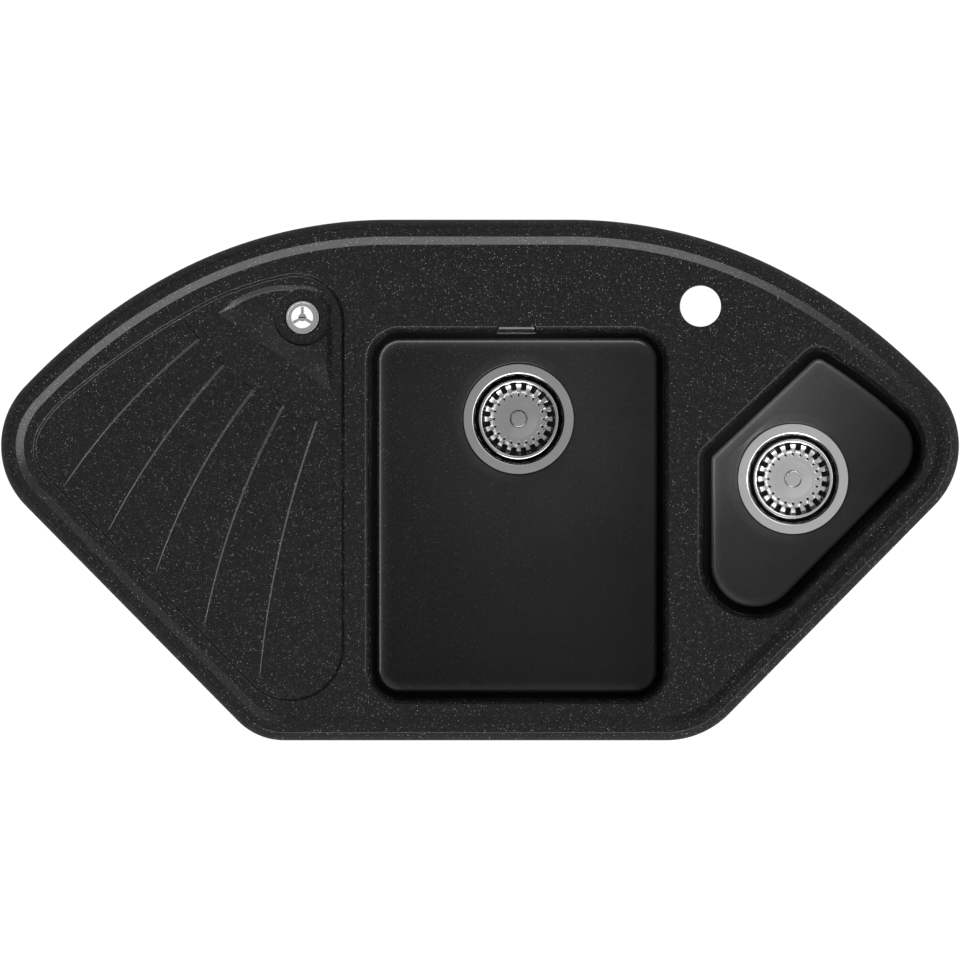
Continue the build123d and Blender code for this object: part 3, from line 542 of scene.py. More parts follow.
def bowl(shell, shape, settings, notch=lambda rings: rings):
    # inside of a bowl, its waste hole and its outer skin; returns its edges in the deck and below
    b = bowls
    rings = notch(swept(shape, bowlProfile(settings)))
    shell.rows(rings)
    centre, floor = np.array(settings["drain"]), deck - settings["depth"]
    inner = rings[-1][:, :2]
    ray = inner - centre
    far = np.linalg.norm(ray, axis=1)[:, None]
    ray /= far
    # round the drain, rings of (radius, depth below the floor, room to keep inside the floor's edge)
    dish, recess, hole, bottom = b["recess"] + b["dishWide"], b["recess"], b["wasteHole"], floor - b["floor"]
    levels = ((dish + 1.5, 0.0, 0.5), (dish - 1.0, 0.15, 1.0), (recess + 0.8, b["dishDrop"], 1.5),
              (recess, b["dishDrop"] + 0.5, 2.0), (recess, b["recessDrop"] - 0.2, 0.0),
              (recess - 0.2, b["recessDrop"], 0.0), (hole + 0.3, b["recessDrop"], 0.0),
              (hole, b["recessDrop"] + 0.3, 0.0), (hole, b["floor"] - 0.3, 0.0), (hole + 0.3, b["floor"], 0.0))
    shell.rows([atHeight(inner, floor)] + [
        atHeight(centre + ray * np.minimum(radius, far - room), floor - drop) for radius, drop, room in levels])
    # the outer skin: drafted like the wall inside, and rounded at its foot
    lean, wall, r = math.tan(math.radians(settings["draft"])), b["wall"], b["skinRound"]
    top, foot, out = under - 0.2, bottom + r, wall - (under - bottom - r) * lean
    skin = [(wall + hold, under), (wall, top)]
    skin += [(between((wall, out), k), between((top, foot), k)) for k in (0.1, 0.9, 1.0)]
    skin += [(out - r + r * math.cos(a), foot - r * math.sin(a)) for a in np.linspace(0, np.pi / 2, 7)[1:]]
    skin.append((skin[-1][0] - hold, bottom))
    shell.rows(swept(shape, skin))
    shell.fill([along(shape, skin[-1][0]), centre + ray * (hole + 0.3)], bottom)
    return rings[0][:, :2], along(shape, skin[0][0])


overflow = {"x": 36.9, "half": 19.6, "y": 408.7, "foot": -27.5, "ductHalf": 13.0, "duct": (-22.0, -8.0),
            "ductEnd": 417.0, "bossY": (403.0, 418.0), "bossHalf": 27.1, "bossFoot": -35.0,
            "seam": 0.06, "wallFrom": -7.5, "behind": 300.0}


def overflowPocket(rings):
    # in the back wall, points between the pocket's sides and above its foot move back to its floor, and
    # those inside the duct move further back; each edge is a pair of lines a seam apart
    o = overflow
    seam = (-o["seam"], o["seam"])
    sides = [o["x"] + s * half for half in (o["half"], o["ductHalf"]) for s in (-1, 1)]
    extra = [side + e for side in sides for e in seam]
    heights = sorted([h + e for h in (o["foot"], *o["duct"]) for e in seam], reverse=True)
    below = next(i for i, ring in enumerate(rings) if ring[0, 2] < o["wallFrom"])
    top, foot = rings[below - 1], rings[below]
    shares = [(top[0, 2] - h) / (top[0, 2] - foot[0, 2]) for h in heights]
    out = []
    for row in rings[:below] + [top * (1 - k) + foot * k for k in shares] + rings[below:]:
        y = np.median(row[(np.abs(row[:, 0] - o["x"]) < 60) & (row[:, 1] > o["behind"]), 1])
        onBack = (np.abs(row[:, 1] - y) < 1e-6) & (row[:, 1] > o["behind"])
        first, z = int(np.argmax(onBack)), row[0, 2]
        x = np.sort(np.concatenate([row[onBack, 0], extra]))[::-1]
        y = np.full(len(x), y)
        aside = np.abs(x - o["x"])
        y[(aside < o["half"]) & (z > o["foot"])] = o["y"]
        y[(aside < o["ductHalf"]) & (z > o["duct"][0]) & (z < o["duct"][1])] = o["ductEnd"]
        out.append(np.concatenate([row[:first], atHeight(np.c_[x, y], z), row[first + onBack.sum():]]))
    return out


drainer = {
    "right": -139.4, "frontCorner": 54.0, "drop": 2.5, "apronDrop": 1.4, "wallWide": 4.1, "wallSoft": 0.36,
    # the recess's arcs from the back right corner round to the left side: centre, radius, from, to
    "arcs": ((-187.4, 413.8, 48.0, 0.0, 100.45), (-140.3, 158.5, 307.6, 100.45, 118.75),
             (95.1, -270.7, 797.1, 118.75, 130.5), (-343.34, 242.65, 122.0, 130.5, 148.5),
             (-413.63, 285.72, 39.57, 148.5, 224.6)),
    "apron": ((-301.3, 417.4), (-230.0, 345.1), (-137.4, 305.4)), "apronSoft": 0.5,
    # each flute's ends, the bulge between them, width and depth at both ends, and its panel's slope
    "starts": ((-286.0, 396.0), (-260.0, 370.6), (-230.0, 345.1), (-199.8, 328.8), (-165.9, 313.1)),
    "ends": ((-424.9, 244.4), (-379.6, 198.6), (-331.1, 155.8), (-280.9, 102.9), (-224.5, 49.0)),
    "bulge": (8.2, 7.2, 9.2, 9.2, 8.9), "wide": (2.9, 1.25), "deep": ((1.65, 0.4),) * 4 + ((0.85, 0.45),),
    "steepSoft": 0.22, "backSlope": (29.0, 50.0), "fade": 6.0,
    # the well: its edge, the ramp down to it, and its upright wall
    "wellLine": ((-266.6, 422.5), (-149.6, 342.1)), "wellArc": ((-231.0, 445.5), (-183.2, 450.5)),
    "wellRight": -150.5, "wellCorner": 27.0, "wellCentre": (-180.8, 418.5), "wellDeep": 3.8,
    "rampLong": 36.0, "rampBend": 2.8, "wellWall": 5.5, "wellLean": 0.5, "wellSoft": 0.04,
    # the drain's cup in the well: its wall leans only to the ramp's side
    "circle": 29.0, "leanBy": 23.0, "leanToward": 235.5, "leanWithin": 66.0, "leanEase": 0.55, "floor": -7.0,
    "seat": 17.8, "seatDrop": 1.2, "groove": 6.0, "grooveWide": 1.3, "hole": 12.6, "boss": 37.0,
    "bossFoot": -16.0, "columns": 96,
}


def drainerOutline():
    # the five arcs, then the left side's line, which ends in a round corner beside the bowl
    d = drainer
    cx, cy, radius, _, slope = d["arcs"][-1]
    n, r = unit(slope), d["frontCorner"]
    x = d["right"] - r
    return [*d["arcs"], (x, (n @ (cx, cy) + radius - r - n[0] * x) / n[1], r, slope, 360)]


def wellEdge():
    # the well's edge from the ramp's start round to its end: arc, line, corner, line; then the ramp's line
    d = drainer
    (a, b), (bend, top) = np.array(d["wellLine"]), np.array(d["wellArc"])
    centre, radius, first, last = arcThrough(a, bend, top)
    arc = polar(centre, radius, np.linspace(first, last, 26))
    r = d["wellCorner"]
    corner = polar((d["wellRight"] - r, top[1] - r), r, np.linspace(np.pi / 2, 0, 14))
    upper, side = np.linspace(top, corner[0], 3)[1:-1], np.linspace(corner[-1], b, 14)[1:]
    return np.concatenate([arc, upper, corner, side]), np.linspace(b, a, 30)


def drainerHeight():
    # height of the drainer's floor at any points, as a function, and the lines along which it turns
    d = drainer
    fan, apron = deck - d["drop"], deck - d["drop"] - d["apronDrop"]
    apronCentre, apronRadius, apronFirst, apronLast = arcThrough(*d["apron"])
    flutes = []
    for start, end, bulge in zip(np.array(d["starts"]), np.array(d["ends"]), d["bulge"]):
        flutes.append(arcThrough(start, (start + end) / 2 - leftOf(start, end) * bulge, end))
    walls, ramp = wellEdge()
    away = leftOf(*d["wellLine"])

    def rampDepth(points):
        # well depth times 1 - (1 - t)^bend, where t is the share of the ramp's length from its line
        t = (points - d["wellLine"][0]) @ away / d["rampLong"]
        return d["wellDeep"] * (1 - np.clip(1 - t, 0, 1) ** d["rampBend"])

    def wallRise(depth):
        return np.maximum(d["wellLean"], depth / d["wellWall"])

    def height(points):
        # fan level less each flute: a steep side of its width, then a long slope back up; its width and
        # depth taper along it, and it fades out at its end
        z = np.full(len(points), fan)
        for (centre, radius, first, last), deeps in zip(flutes, d["deep"]):
            v = points - centre
            across = radius - np.linalg.norm(v, axis=1)
            angle = np.arctan2(v[:, 1], v[:, 0])
            angle += 2 * np.pi * np.round(((first + last) / 2 - angle) / (2 * np.pi))
            t = (angle - first) / (last - first)
            wide, deep, back = (between(pair, np.clip(t, 0, 1)) for pair in (d["wide"], deeps, d["backSlope"]))
            fade = smooth((1 - t) * abs(last - first) * radius / d["fade"])
            steep = stepDown((across + wide / 2) / wide, d["steepSoft"])
            slope = np.clip((wide / 2 + back - across) / back, 0, 1)
            z = z - deep * fade * np.where(across < wide / 2, steep, slope)
        # the fan's panels end in a small step down to the level apron
        s = np.linalg.norm(points - apronCentre, axis=1) - apronRadius
        z = apron + (z - apron) * smooth((s + d["apronSoft"]) / (2 * d["apronSoft"]))
        # inside the well, the lesser of the ramp's depth and of the wall's, by distance from the wall
        start, seg = walls[:-1], np.diff(walls, axis=0)
        w = points[:, None, :] - start[None]
        k = np.clip((w * seg[None]).sum(-1) / (seg ** 2).sum(axis=1), 0, 1)
        distance = np.linalg.norm(w - k[..., None] * seg[None], axis=-1).min(axis=1)
        depth = rampDepth(points)
        wall = distance * wallRise(depth)
        soft = 0.5 * (depth + wall - np.sqrt((depth - wall) ** 2 + d["wellSoft"]))
        inside = within(points, np.concatenate([walls, ramp[1:-1]]))
        return np.where(inside, np.minimum(z, apron - np.maximum(soft, 0.0)), z)

    lines = []
    k = np.linspace(-0.03, 1.0, 44)
    for centre, radius, first, last in flutes:
        wide, back = (between(d[key], np.clip(k, 0, 1)) for key in ("wide", "backSlope"))
        offsets = [wide * (share - 0.5) for share in (0.0, 0.08, 0.16, 0.24, 0.5, 0.76, 0.84, 0.92, 1.0)]
        offsets += [wide / 2 + 0.5, wide / 2 + back - 1.0, wide / 2 + back + 1.0]
        lines += [polar(centre, radius - across, between((first, last), k)) for across in offsets]
    t = between((apronFirst, apronLast), np.linspace(-0.25, 1.15, 70))
    lines += [polar(apronCentre, apronRadius + s, t) for s in (-0.9, -0.5, -0.25, 0.0, 0.25, 0.5, 0.9)]
    # the well's edge and the foot of its wall, where the wall meets the ramp
    step = np.gradient(walls, axis=0)
    step /= np.linalg.norm(step, axis=1)[:, None]
    inward = np.c_[step[:, 1], -step[:, 0]]
    reach = np.zeros(len(walls))
    for _ in range(8):
        depth = np.maximum(rampDepth(walls + inward * reach[:, None]), 0)
        reach = depth / wallRise(depth)
    lines += [walls + inward * (reach * share)[:, None] for share in (0.0, 0.5, 0.9, 1.0, 1.1, 1.25)]
    lines += [ramp - away * e for e in (-0.35, 0.35)]
    return height, lines


def drainerPan(shell):
    # the step down all round, the floor, and the round seat of the drain
    d = drainer
    shape = drainerOutline()
    height, lines = drainerHeight()
    wide, beyond = d["wallWide"], 0.8
    inner = along(shape, -wide / 2 - beyond)
    rows = []
    for t in (-0.2, 0.0, 0.06, 0.12, 0.18, 0.24, 0.3, 0.36, 0.5, 0.64, 0.7, 0.76, 0.82, 0.88, 0.94, 1.0,
              1.0 + beyond / wide):
        share = float(stepDown(np.array(t), d["wallSoft"]))
        rows.append(atHeight(along(shape, wide * (0.5 - t)), deck * (1 - share) + height(inner) * share))
    shell.rows(rows)
    ring = lambda radius: circle(d["wellCentre"], radius, d["columns"])
    r, f = d["circle"], d["floor"]
    # the floor's lines, cut where they leave it or come near the round seat
    kept, fence = [], along(shape, -4.0)
    for line in lines:
        ok = within(line, fence) & (np.linalg.norm(line - d["wellCentre"], axis=1) > r + 1.6)
        cuts = np.flatnonzero(np.diff(ok.astype(int))) + 1
        runs = zip(np.split(line, cuts), np.split(ok, cuts))
        kept += [part for part, good in runs if good[0] and len(part) > 1]
    rim = ring(r + 0.25)
    shell.fill([inner, rim], height, kept)
    # the cup's wall leans out only where it faces the ramp, and stands upright further round
    top = height(rim)
    soft = np.maximum(top - 0.2, f + 0.8)
    away = (ring(r) - d["wellCentre"]) / r
    turn = np.cos(np.arctan2(away[:, 1], away[:, 0]) - math.radians(d["leanToward"]))
    faces = np.clip((turn - math.cos(math.radians(d["leanWithin"]))) / d["leanEase"], 0, 1)
    foot = (r - (soft - f - 0.7) * faces * math.tan(math.radians(d["leanBy"])))[:, None]
    rows = [atHeight(rim, top), atHeight(ring(r + 0.07), top - 0.07), atHeight(ring(r), soft)]
    rows += [atHeight(d["wellCentre"] + away * (foot - inset), f + up)
             for inset, up in ((0.0, 0.7), (0.3, 0.2), (0.8, 0.0))]
    seat, sunk, hole, boss, low = d["seat"], f - d["seatDrop"], d["hole"], d["boss"], d["bossFoot"]
    rows += [atHeight(ring(radius), z) for radius, z in (
        (seat + 0.2, f), (seat, f - 0.2), (seat, f - d["groove"]), (seat - d["grooveWide"], f - d["groove"]),
        (seat - d["grooveWide"] - 0.2, sunk), (hole + 0.3, sunk), (hole, sunk - 0.2), (hole, low + 0.2),
        (hole + 0.3, low), (boss - 1.0, low), (boss, low + 1.0), (boss, under - 0.3), (boss + hold, under))]
    shell.rows(rows)
    return along(shape, wide * 0.7), ring(boss + hold)


tapHole = {"centre": (224.4, 429.9), "radius": 20.8, "columns": 96, "edge": 0.8}
clips = {
    "frontAside": 90.0, "backAside": 75.0, "reach": (-28.0, -14.0), "wide": 22.0, "foot": -12.8, "into": 0.6,
}


def clipPlaces():
    # (x, y, bearing): in front and behind by the distance aside, then half way along each shoulder and side
    middle, front = sum(bowls["main"]["x"]) / 2, sink["front"]
    places = [(middle + s * clips["frontAside"], front, -90) for s in (-1, 1)]
    places += [(s * clips["backAside"], front + sink["depth"], 90) for s in (-1, 1)]
    turn = 90 - sink["backTurn"] - sink["shoulderTurn"] / 2
    on = shoulderCentre + sink["shoulderRadius"] * unit(turn)
    slope = -sink["sideSlope"]
    n = unit(slope)
    upper = cornerCentre + sink["cornerRadius"] * n
    for side, name in ((1, "frontRight"), (-1, "frontLeft")):
        y = front + sink[name] * (1 + n[1])
        lower = upper + (upper[1] - y) / n[0] * np.array([n[1], -n[0]])
        spot = (upper + lower) / 2
        places.append((side * on[0], on[1], 90 - side * (90 - turn)))
        places.append((side * spot[0], spot[1], slope if side > 0 else 180 - slope))
    return places


def graniteSink():
    # rim, two bowls, drainer, tap hole, and the deck's top and underside between them; then closed blocks
    # for the overflow's boss and the clips' pads, sunk a little into the underside
    shell = Shell()
    seat, deckEdge = sinkRim(shell)
    mainTop, mainUnder = bowl(shell, mainOutline(), bowls["main"], overflowPocket)
    smallTop, smallUnder = bowl(shell, smallOutline(), bowls["small"])
    panTop, bossUnder = drainerPan(shell)
    t, e = tapHole, tapHole["edge"]
    ring = lambda out: circle(t["centre"], t["radius"] + out, t["columns"])
    shell.rows([atHeight(ring(out), z) for out, z in (
        (e + hold, deck), (e, deck), (0.3 * e, deck - 0.3 * e), (0.0, deck - e), (0.0, under + 0.3),
        (0.3, under), (hold, under))])
    shell.fill([deckEdge, mainTop, smallTop, panTop, ring(e + hold)], deck)
    shell.fill([seat, mainUnder, smallUnder, bossUnder, ring(hold)], under)
    o, top = overflow, under + clips["into"]
    (near, far), half = o["bossY"], o["bossHalf"]
    shell.box((o["x"] - half, near, o["bossFoot"]), (o["x"] + half, far, top))
    (near, far), half = clips["reach"], clips["wide"] / 2
    for x, y, bearing in clipPlaces():
        c, s = unit(bearing)
        turned = lambda p: np.c_[x + c * p[:, 0] - s * p[:, 1], y + s * p[:, 0] + c * p[:, 1], p[:, 2]]
        shell.box((near, -half, clips["foot"]), (far, half, top), turned)
    return shell.make("graniteSink", "sink", granite)


sinkPiece = graniteSink()
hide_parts("sink_body")


def steelMaterial(name, centre, colour, roughness):
    # turned steel: fine rings round the piece's axis, from noise that reads only radius and height
    made, g = material(name)
    place = g.place()
    x, y, z = g.parts(g.node("ShaderNodeMapping", {}, {
        "Vector": place, "Location": (-centre[0] * mm, -centre[1] * mm, 0)}))
    radius = (x * x + y * y) ** 0.5
    rings = g.noise(g.node("ShaderNodeCombineXYZ", {}, {0: radius * 1600.0, 1: z * 1600.0}), 1.0, 3.0, 0.6)
    smear = g.noise(place, 35.0, 3.0)
    tone = g.blend(smear * 0.6 + rings * 0.4, grey(colour * 0.9), grey(colour * 1.08))
    rough = roughness + (rings - 0.5) * 0.05 + (smear - 0.5) * 0.08
    g.output(g.surface(tone, rough, g.bumps(rings, 0.15, 0.00004), 1.0))
    return made


def plainMaterial(name, colour, roughness, metallic=0.0, grainScale=900.0, bump=0.00005, vary=0.12):
    # clouds of a darker and a paler tone, and a fine grain in roughness and bump
    made, g = material(name)
    place = g.place()
    cloud, grain = g.noise(place, 30.0, 3.0), g.noise(place, grainScale, 2.0)
    low, high = ((*(min(c * share, 1.0) for c in colour), 1.0) for share in (1 - vary, 1 + vary))
    tone = g.blend(cloud, low, high)
    rough = roughness + (grain - 0.5) * 0.12 + (cloud - 0.5) * 0.08
    g.output(g.surface(tone, rough, g.bumps(grain, 0.3, bump), metallic))
    return made


# a finish for each slot of the record, and for the steels also by the first word of the node's name
finishes = {
    "granite": granite,
    "rubber": plainMaterial("black rubber", (0.018, 0.018, 0.019), 0.62, bump=0.0001),
    "white_plastic": plainMaterial("moulded plastic", (0.55, 0.56, 0.57), 0.42, vary=0.04),
    "galvanised_steel": plainMaterial("zinc plate", (0.55, 0.56, 0.58), 0.36, 1.0, 300.0, 0.00003, 0.15),
    "brass": plainMaterial("turned brass", (0.60, 0.44, 0.17), 0.3, 1.0, 500.0, 0.00003, 0.1),
    ("rosette", "polished_steel"): steelMaterial("drain steel", drainer["wellCentre"], 0.68, 0.16),
    ("overflow", "polished_steel"): plainMaterial(
        "overflow steel", (0.52, 0.52, 0.53), 0.18, 1.0, 700.0, 0.00002, 0.06),
}
# one steel for both wastes, but its grey is painted darker in the deep main bowl and paler in the small one:
# painted shade and painted light
for name, paintedTone in (("main", 0.57), ("small", 0.93)):
    for kind, roughness in (("pressed", 0.15), ("polished", 0.12)):
        made = steelMaterial(name + " " + kind + " steel", bowls[name]["drain"], paintedTone, roughness)
        finishes[name, kind + "_steel"] = made
looks = {}
for part in frame["record"]["subparts"]:
    node, slot = part["node"], part["material_slot"]
    looks[node] = finishes.get(slot) or finishes[node.split("_")[0], slot]
    mesh = frame["nodes"][node].data
    mesh.materials.clear()
    mesh.materials.append(looks[node])
print("finishes given to", len(looks), "nodes")


# the two wastes: flange with its cup, strainer basket, knob, as (radius, height from the bowl's floor)
waste = {
    "flange": (
        (30.4, -38.0), (30.8, -37.9), (31.0, -37.5), (31.0, -31.6), (31.4, -31.15), (32.0, -31.1),
        (38.4, -31.1), (40.4, -30.7), (41.6, -29.6), (43.9, -25.0), (44.4, -23.0), (44.55, -6.0),
        (44.8, -3.6), (45.1, -2.5), (45.55, -1.65), (46.1, -1.1), (46.7, -0.78), (47.2, -0.64), (47.7, -0.6),
        (55.4, -0.6), (55.9, -0.68), (56.2, -0.95), (56.3, -1.3), (56.2, -1.65), (55.9, -1.8), (48.2, -1.8),
        (47.0, -2.1), (46.2, -3.0), (45.8, -4.6), (45.7, -23.6), (45.0, -25.8), (42.4, -30.6), (41.2, -31.8),
        (39.4, -32.3), (32.6, -32.3), (32.2, -32.7), (32.2, -38.4), (31.8, -39.0), (31.2, -39.2)),
    "holes": 6, "holeCircle": 18.5, "holeRadius": 5.4, "bore": 4.2, "holeColumns": 32,
    "basket": (
        (40.1, -4.5), (40.1, -3.25), (40.08, -3.06), (39.95, -3.0), (39.3, -3.0), (38.6, -3.02),
        (38.42, -3.1), (38.25, -3.6), (38.05, -5.0), (37.75, -8.0), (37.4, -13.0), (37.1, -16.6),
        (36.85, -18.2), (36.5, -19.3), (36.1, -19.95), (35.6, -20.36), (35.0, -20.64), (34.0, -21.02),
        (33.0, -21.33), (32.0, -21.58), (31.2, -21.75), (30.7, -21.84), (29.4, -21.98), (28.0, -22.05),
        (27.0, -22.08), (26.3, -22.1), (25.2, -22.15), (24.0, -22.18), (21.8, -22.2), (20.0, -22.2),
        (18.7, -22.18), (18.2, -22.05), (14.0, -21.7), (9.4, -21.32), (8.8, -21.33), (8.3, -21.6),
        (7.9, -22.05), (7.4, -22.2), (3.2, -22.2)),
    # between the ribs the floor turns up to the slots
    "tongue": ((25.8, -22.12), (26.3, -22.0), (27.0, -21.85), (28.0, -21.58), (29.4, -21.1), (30.7, -20.5)),
    "pitch": 20, "slotRows": (12, 22), "slotWide": 4.8, "slotCorner": 0.75, "slotColumns": (2, 3, 4),
    "holeRows": (25, 27), "holeWide": 1.9, "sheet": 0.8,
    "knob": (
        (0.0, -9.0), (3.0, -9.0), (6.9, -9.0), (7.3, -9.08), (7.55, -9.3), (7.75, -9.7), (8.0, -10.6),
        (8.25, -11.8), (8.4, -13.2), (8.3, -14.4), (7.8, -15.1), (7.0, -15.4), (5.6, -15.5), (4.95, -15.8),
        (4.7, -16.5), (4.6, -19.0), (4.7, -21.3), (4.8, -21.9), (0.0, -21.9)),
    "columns": 144, "knobColumns": 96,
}


def lathe(shell, centre, floor, profile, columns):
    # (radius, height) turned round the centre: x = cx + r cos t, y = cy + r sin t, z = floor + height
    shell.rows([atHeight(circle(centre, r, columns), floor + z) for r, z in profile])


def wasteFlange(name, centre, floor):
    # the turned cup, and its floor: a ring with six round holes, above and below, and the holes' walls
    w, shell = waste, Shell()
    lathe(shell, centre, floor, w["flange"], w["columns"])
    spots = polar(centre, w["holeCircle"], np.radians(np.arange(w["holes"]) * 360 / w["holes"]))
    holes = [circle(spot, w["holeRadius"], w["holeColumns"]) for spot in spots]
    holes.append(circle(centre, w["bore"], w["holeColumns"]))
    ends = w["flange"][0], w["flange"][-1]
    for radius, z in ends:
        shell.fill([circle(centre, radius, w["columns"]), *holes], floor + z)
    for hole in holes:
        shell.rows([atHeight(hole, floor + z) for _, z in ends])
    return shell.make(name + "Flange", "sink", looks[name + "_flange"])


def wasteBasket(name, centre, floor):
    # a sheet turned round the centre on a grid whose columns follow the slots' straight sides: a slot's
    # half width at radius r is the angle asin(wide / 2 / r); cells of slots and holes are left out
    w, shell = waste, Shell()
    r, z = np.array(w["basket"]).T
    pitch = 360 / w["pitch"]
    first, last = w["slotRows"]
    half = np.degrees(np.arcsin(w["slotWide"] / 2 / np.maximum(r, 27.0)))
    half[[first, last]] *= w["slotCorner"]      # the slots' corners are cut
    half[:first], half[last + 1:] = half[first + 1], half[last - 1]
    side = np.full(len(r), np.degrees(np.arcsin(w["holeWide"] / 2 / 26.5)))
    left, right = pitch / 2 - half, pitch / 2 + half
    offsets = np.stack([side, (side + left) / 2, left, left + half * 0.67, right - half * 0.67, right,
                        (pitch - side + right) / 2, pitch - side], -1)
    n = offsets.shape[1]
    t = np.radians((offsets[:, None, :] + (np.arange(w["pitch"]) * pitch)[None, :, None]).reshape(len(r), -1))
    # the tongues between the ribs are lifted, most in their middle columns
    lift = np.interp(r, *np.array(w["tongue"]).T) - z
    share = ((r > 25.8) & (r < 31.0))[:, None] * np.tile([0, 0, 0.85, 1, 1, 0.85, 0, 0], w["pitch"])
    points = np.stack([centre[0] + r[:, None] * np.cos(t), centre[1] + r[:, None] * np.sin(t),
                       floor + z[:, None] + share * lift[:, None]], -1)
    quads = gridQuads(*t.shape)[..., [0, 3, 2, 1]]
    i, j = np.indices(quads.shape[:2])
    slot = (i >= first) & (i < last) & np.isin(j % n, w["slotColumns"])
    hole = (i >= w["holeRows"][0]) & (i < w["holeRows"][1]) & (j % n == n - 1)
    shell.add(points.reshape(-1, 3), quads[~(slot | hole)])
    return shell.make(name + "Basket", name + "_strainer", looks[name + "_basket"], thick=w["sheet"])


def wasteKnob(name, centre, floor):
    shell = Shell()
    lathe(shell, centre, floor, waste["knob"], waste["knobColumns"])
    return shell.make(name + "Knob", name + "_lift", looks[name + "_knob"])


for name in ("main", "small"):
    for part, maker, finish in (
            ("flange", wasteFlange, "pressed_steel"), ("basket", wasteBasket, "pressed_steel"),
            ("knob", wasteKnob, "polished_steel")):
        piece = maker(name, bowls[name]["drain"], deck - bowls[name]["depth"])
        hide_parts(name + "_" + part)


# the drain's cover: a turned ring in two levels and a three-armed cross, with heights from its seat
rosette = {
    "ring": ((16.6, -1.15), (16.6, 1.2), (16.56, 1.36), (16.45, 1.4), (15.6, 1.4), (14.95, 1.4), (14.88, 1.36),
             (14.8, 1.15), (14.7, 1.07), (14.5, 1.05), (13.0, 1.04), (11.6, 1.03), (11.15, 1.0), (10.98, 0.93),
             (10.9, 0.75), (10.9, -1.0), (11.0, -1.15), (16.6, -1.15)),
    "arm": 1.5, "reach": 11.5, "hub": 4.1, "top": 0.9, "foot": -1.1, "edge": 0.25, "columns": 96,
}


def crossOutline(grow):
    # hub circle and three straight arms, at 90, 210 and 330 degrees: an arm's side meets radius r at the
    # angle asin(arm / r) from its middle
    d = rosette
    arm, hub = d["arm"] + grow, d["hub"] + grow
    points = []
    for middle in (90, 210, 330):
        near, far = (math.degrees(math.asin(arm / r)) for r in (hub, d["reach"]))
        turns = [middle - near, middle - far, middle + far, middle + near]
        points += zip((hub, d["reach"], d["reach"], hub), turns)
        points += [(hub, middle + near + (120 - 2 * near) * k / 8) for k in range(1, 8)]
    r, t = np.array(points).T
    return polar(drainer["wellCentre"], r, np.radians(t))


def rosettePlate():
    d, shell, seat = rosette, Shell(), drainer["floor"]
    lathe(shell, drainer["wellCentre"], seat, d["ring"], d["columns"])
    inner, outer = crossOutline(-d["edge"]), crossOutline(0.0)
    top, foot = seat + d["top"], seat + d["foot"]
    shell.rows([atHeight(inner, top), atHeight(outer, top - d["edge"]), atHeight(outer, foot)])
    shell.fill([inner], top)
    shell.fill([outer], foot)
    return shell.make("rosettePlate", "sink", looks["rosette"])


rosettePiece = rosettePlate()
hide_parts("rosette")


studio = {
    "floorBelow": 0.012, "floorSize": 30.0, "floorWhite": 0.93, "floorGlow": 1.08,
    "horizon": 0.2, "zenith": 0.41,
    "high": 0.95, "highBearing": 54.0, "highTilt": 42.0, "highEnds": (0.85, 0.98),
    "lobe": 7.9, "lobeHeight": 0.616, "lobeWide": 0.17, "lobeBearing": -54.0, "lobeEnds": (0.25, 0.62),
    "viewWide": 0.977, "viewCentre": (0.0, 0.253), "viewHeight": 3.0,
}


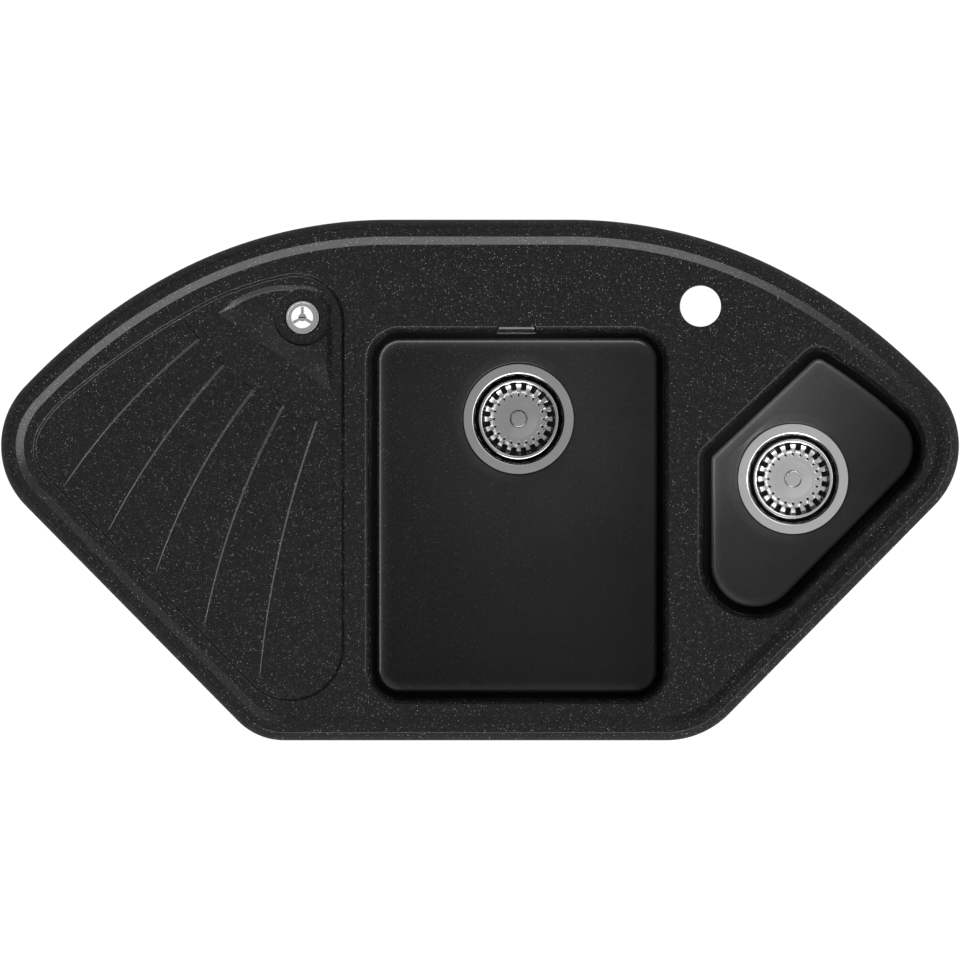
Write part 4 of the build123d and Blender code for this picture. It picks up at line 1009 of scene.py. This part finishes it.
def studioFloor():
    # diffuse paint for the shadow, and white where the camera or a mirror looks at it
    s = studio
    low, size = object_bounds()[0][2] - s["floorBelow"], s["floorSize"]
    mesh = bpy.data.meshes.new("studioFloor")
    corners = [(x * size, y * size, low) for x, y in ((-1, -1), (1, -1), (1, 1), (-1, 1))]
    mesh.from_pydata(corners, [], [(0, 1, 2, 3)])
    floor = bpy.data.objects.new("studioFloor", mesh)
    bpy.context.scene.collection.objects.link(floor)
    made, g = material("white floor")
    tint = g.blend(g.noise(g.place(), 3.0), grey(0.80), grey(0.84))
    paint = g.node("ShaderNodeBsdfDiffuse", {}, {"Color": tint})
    glow = g.node("ShaderNodeEmission", {}, {"Color": grey(1.0), "Strength": s["floorGlow"]})
    camera, glossy, clear = g.node(
        "ShaderNodeLightPath", out=("Is Camera Ray", "Is Glossy Ray", "Is Transmission Ray"))
    seen = camera.maths("MAXIMUM", glossy).maths("MAXIMUM", clear)
    g.output(g.mixed(seen * s["floorWhite"], paint, glow))
    mesh.materials.append(made)
    floor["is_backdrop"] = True
    print("floor at", round(low, 4))


def studioLight():
    # radiance by direction: a dim sky, a weak broad light high over the right back corner, and a broad
    # soft band of light half way up, from the right round to the front
    s = studio
    world = bpy.data.worlds.new("studioLight")
    bpy.context.scene.world = world
    world.use_nodes = True
    g = Graph(world.node_tree)
    x, y, z = g.parts(g.node("ShaderNodeTexCoord", out="Generated"))
    sky = g.eased(z, 0.0, 0.95, s["horizon"], s["zenith"])
    c, k = unit(s["highBearing"])
    level, up = math.sin(math.radians(s["highTilt"])), math.cos(math.radians(s["highTilt"]))
    high = g.eased(x * (level * c) + y * (level * k) + z * up, *s["highEnds"])
    c, k = unit(s["lobeBearing"])
    toward = (x * c + y * k) / ((x * x + y * y) ** 0.5 + 0.0001)
    offset = (z - s["lobeHeight"]) / s["lobeWide"]
    fall = offset * offset * -1.0
    band = fall.maths("EXPONENT") * g.eased(toward, *s["lobeEnds"])
    strength = sky + band * s["lobe"] + high * s["high"]
    light = g.node("ShaderNodeBackground", {}, {"Color": grey(1.0), "Strength": strength})
    g.output(light, "ShaderNodeOutputWorld")


def photoCamera():
    camera = bpy.data.cameras.new("photoCamera")
    camera.type = "ORTHO"
    camera.ortho_scale = studio["viewWide"]
    camera.clip_end = 50.0
    viewer = bpy.data.objects.new("photoCamera", camera)
    viewer.location = (*studio["viewCentre"], studio["viewHeight"])
    bpy.context.scene.collection.objects.link(viewer)
    bpy.context.scene.camera = viewer
    bpy.context.scene.view_settings.view_transform = "Standard"


studioFloor()
studioLight()
photoCamera()
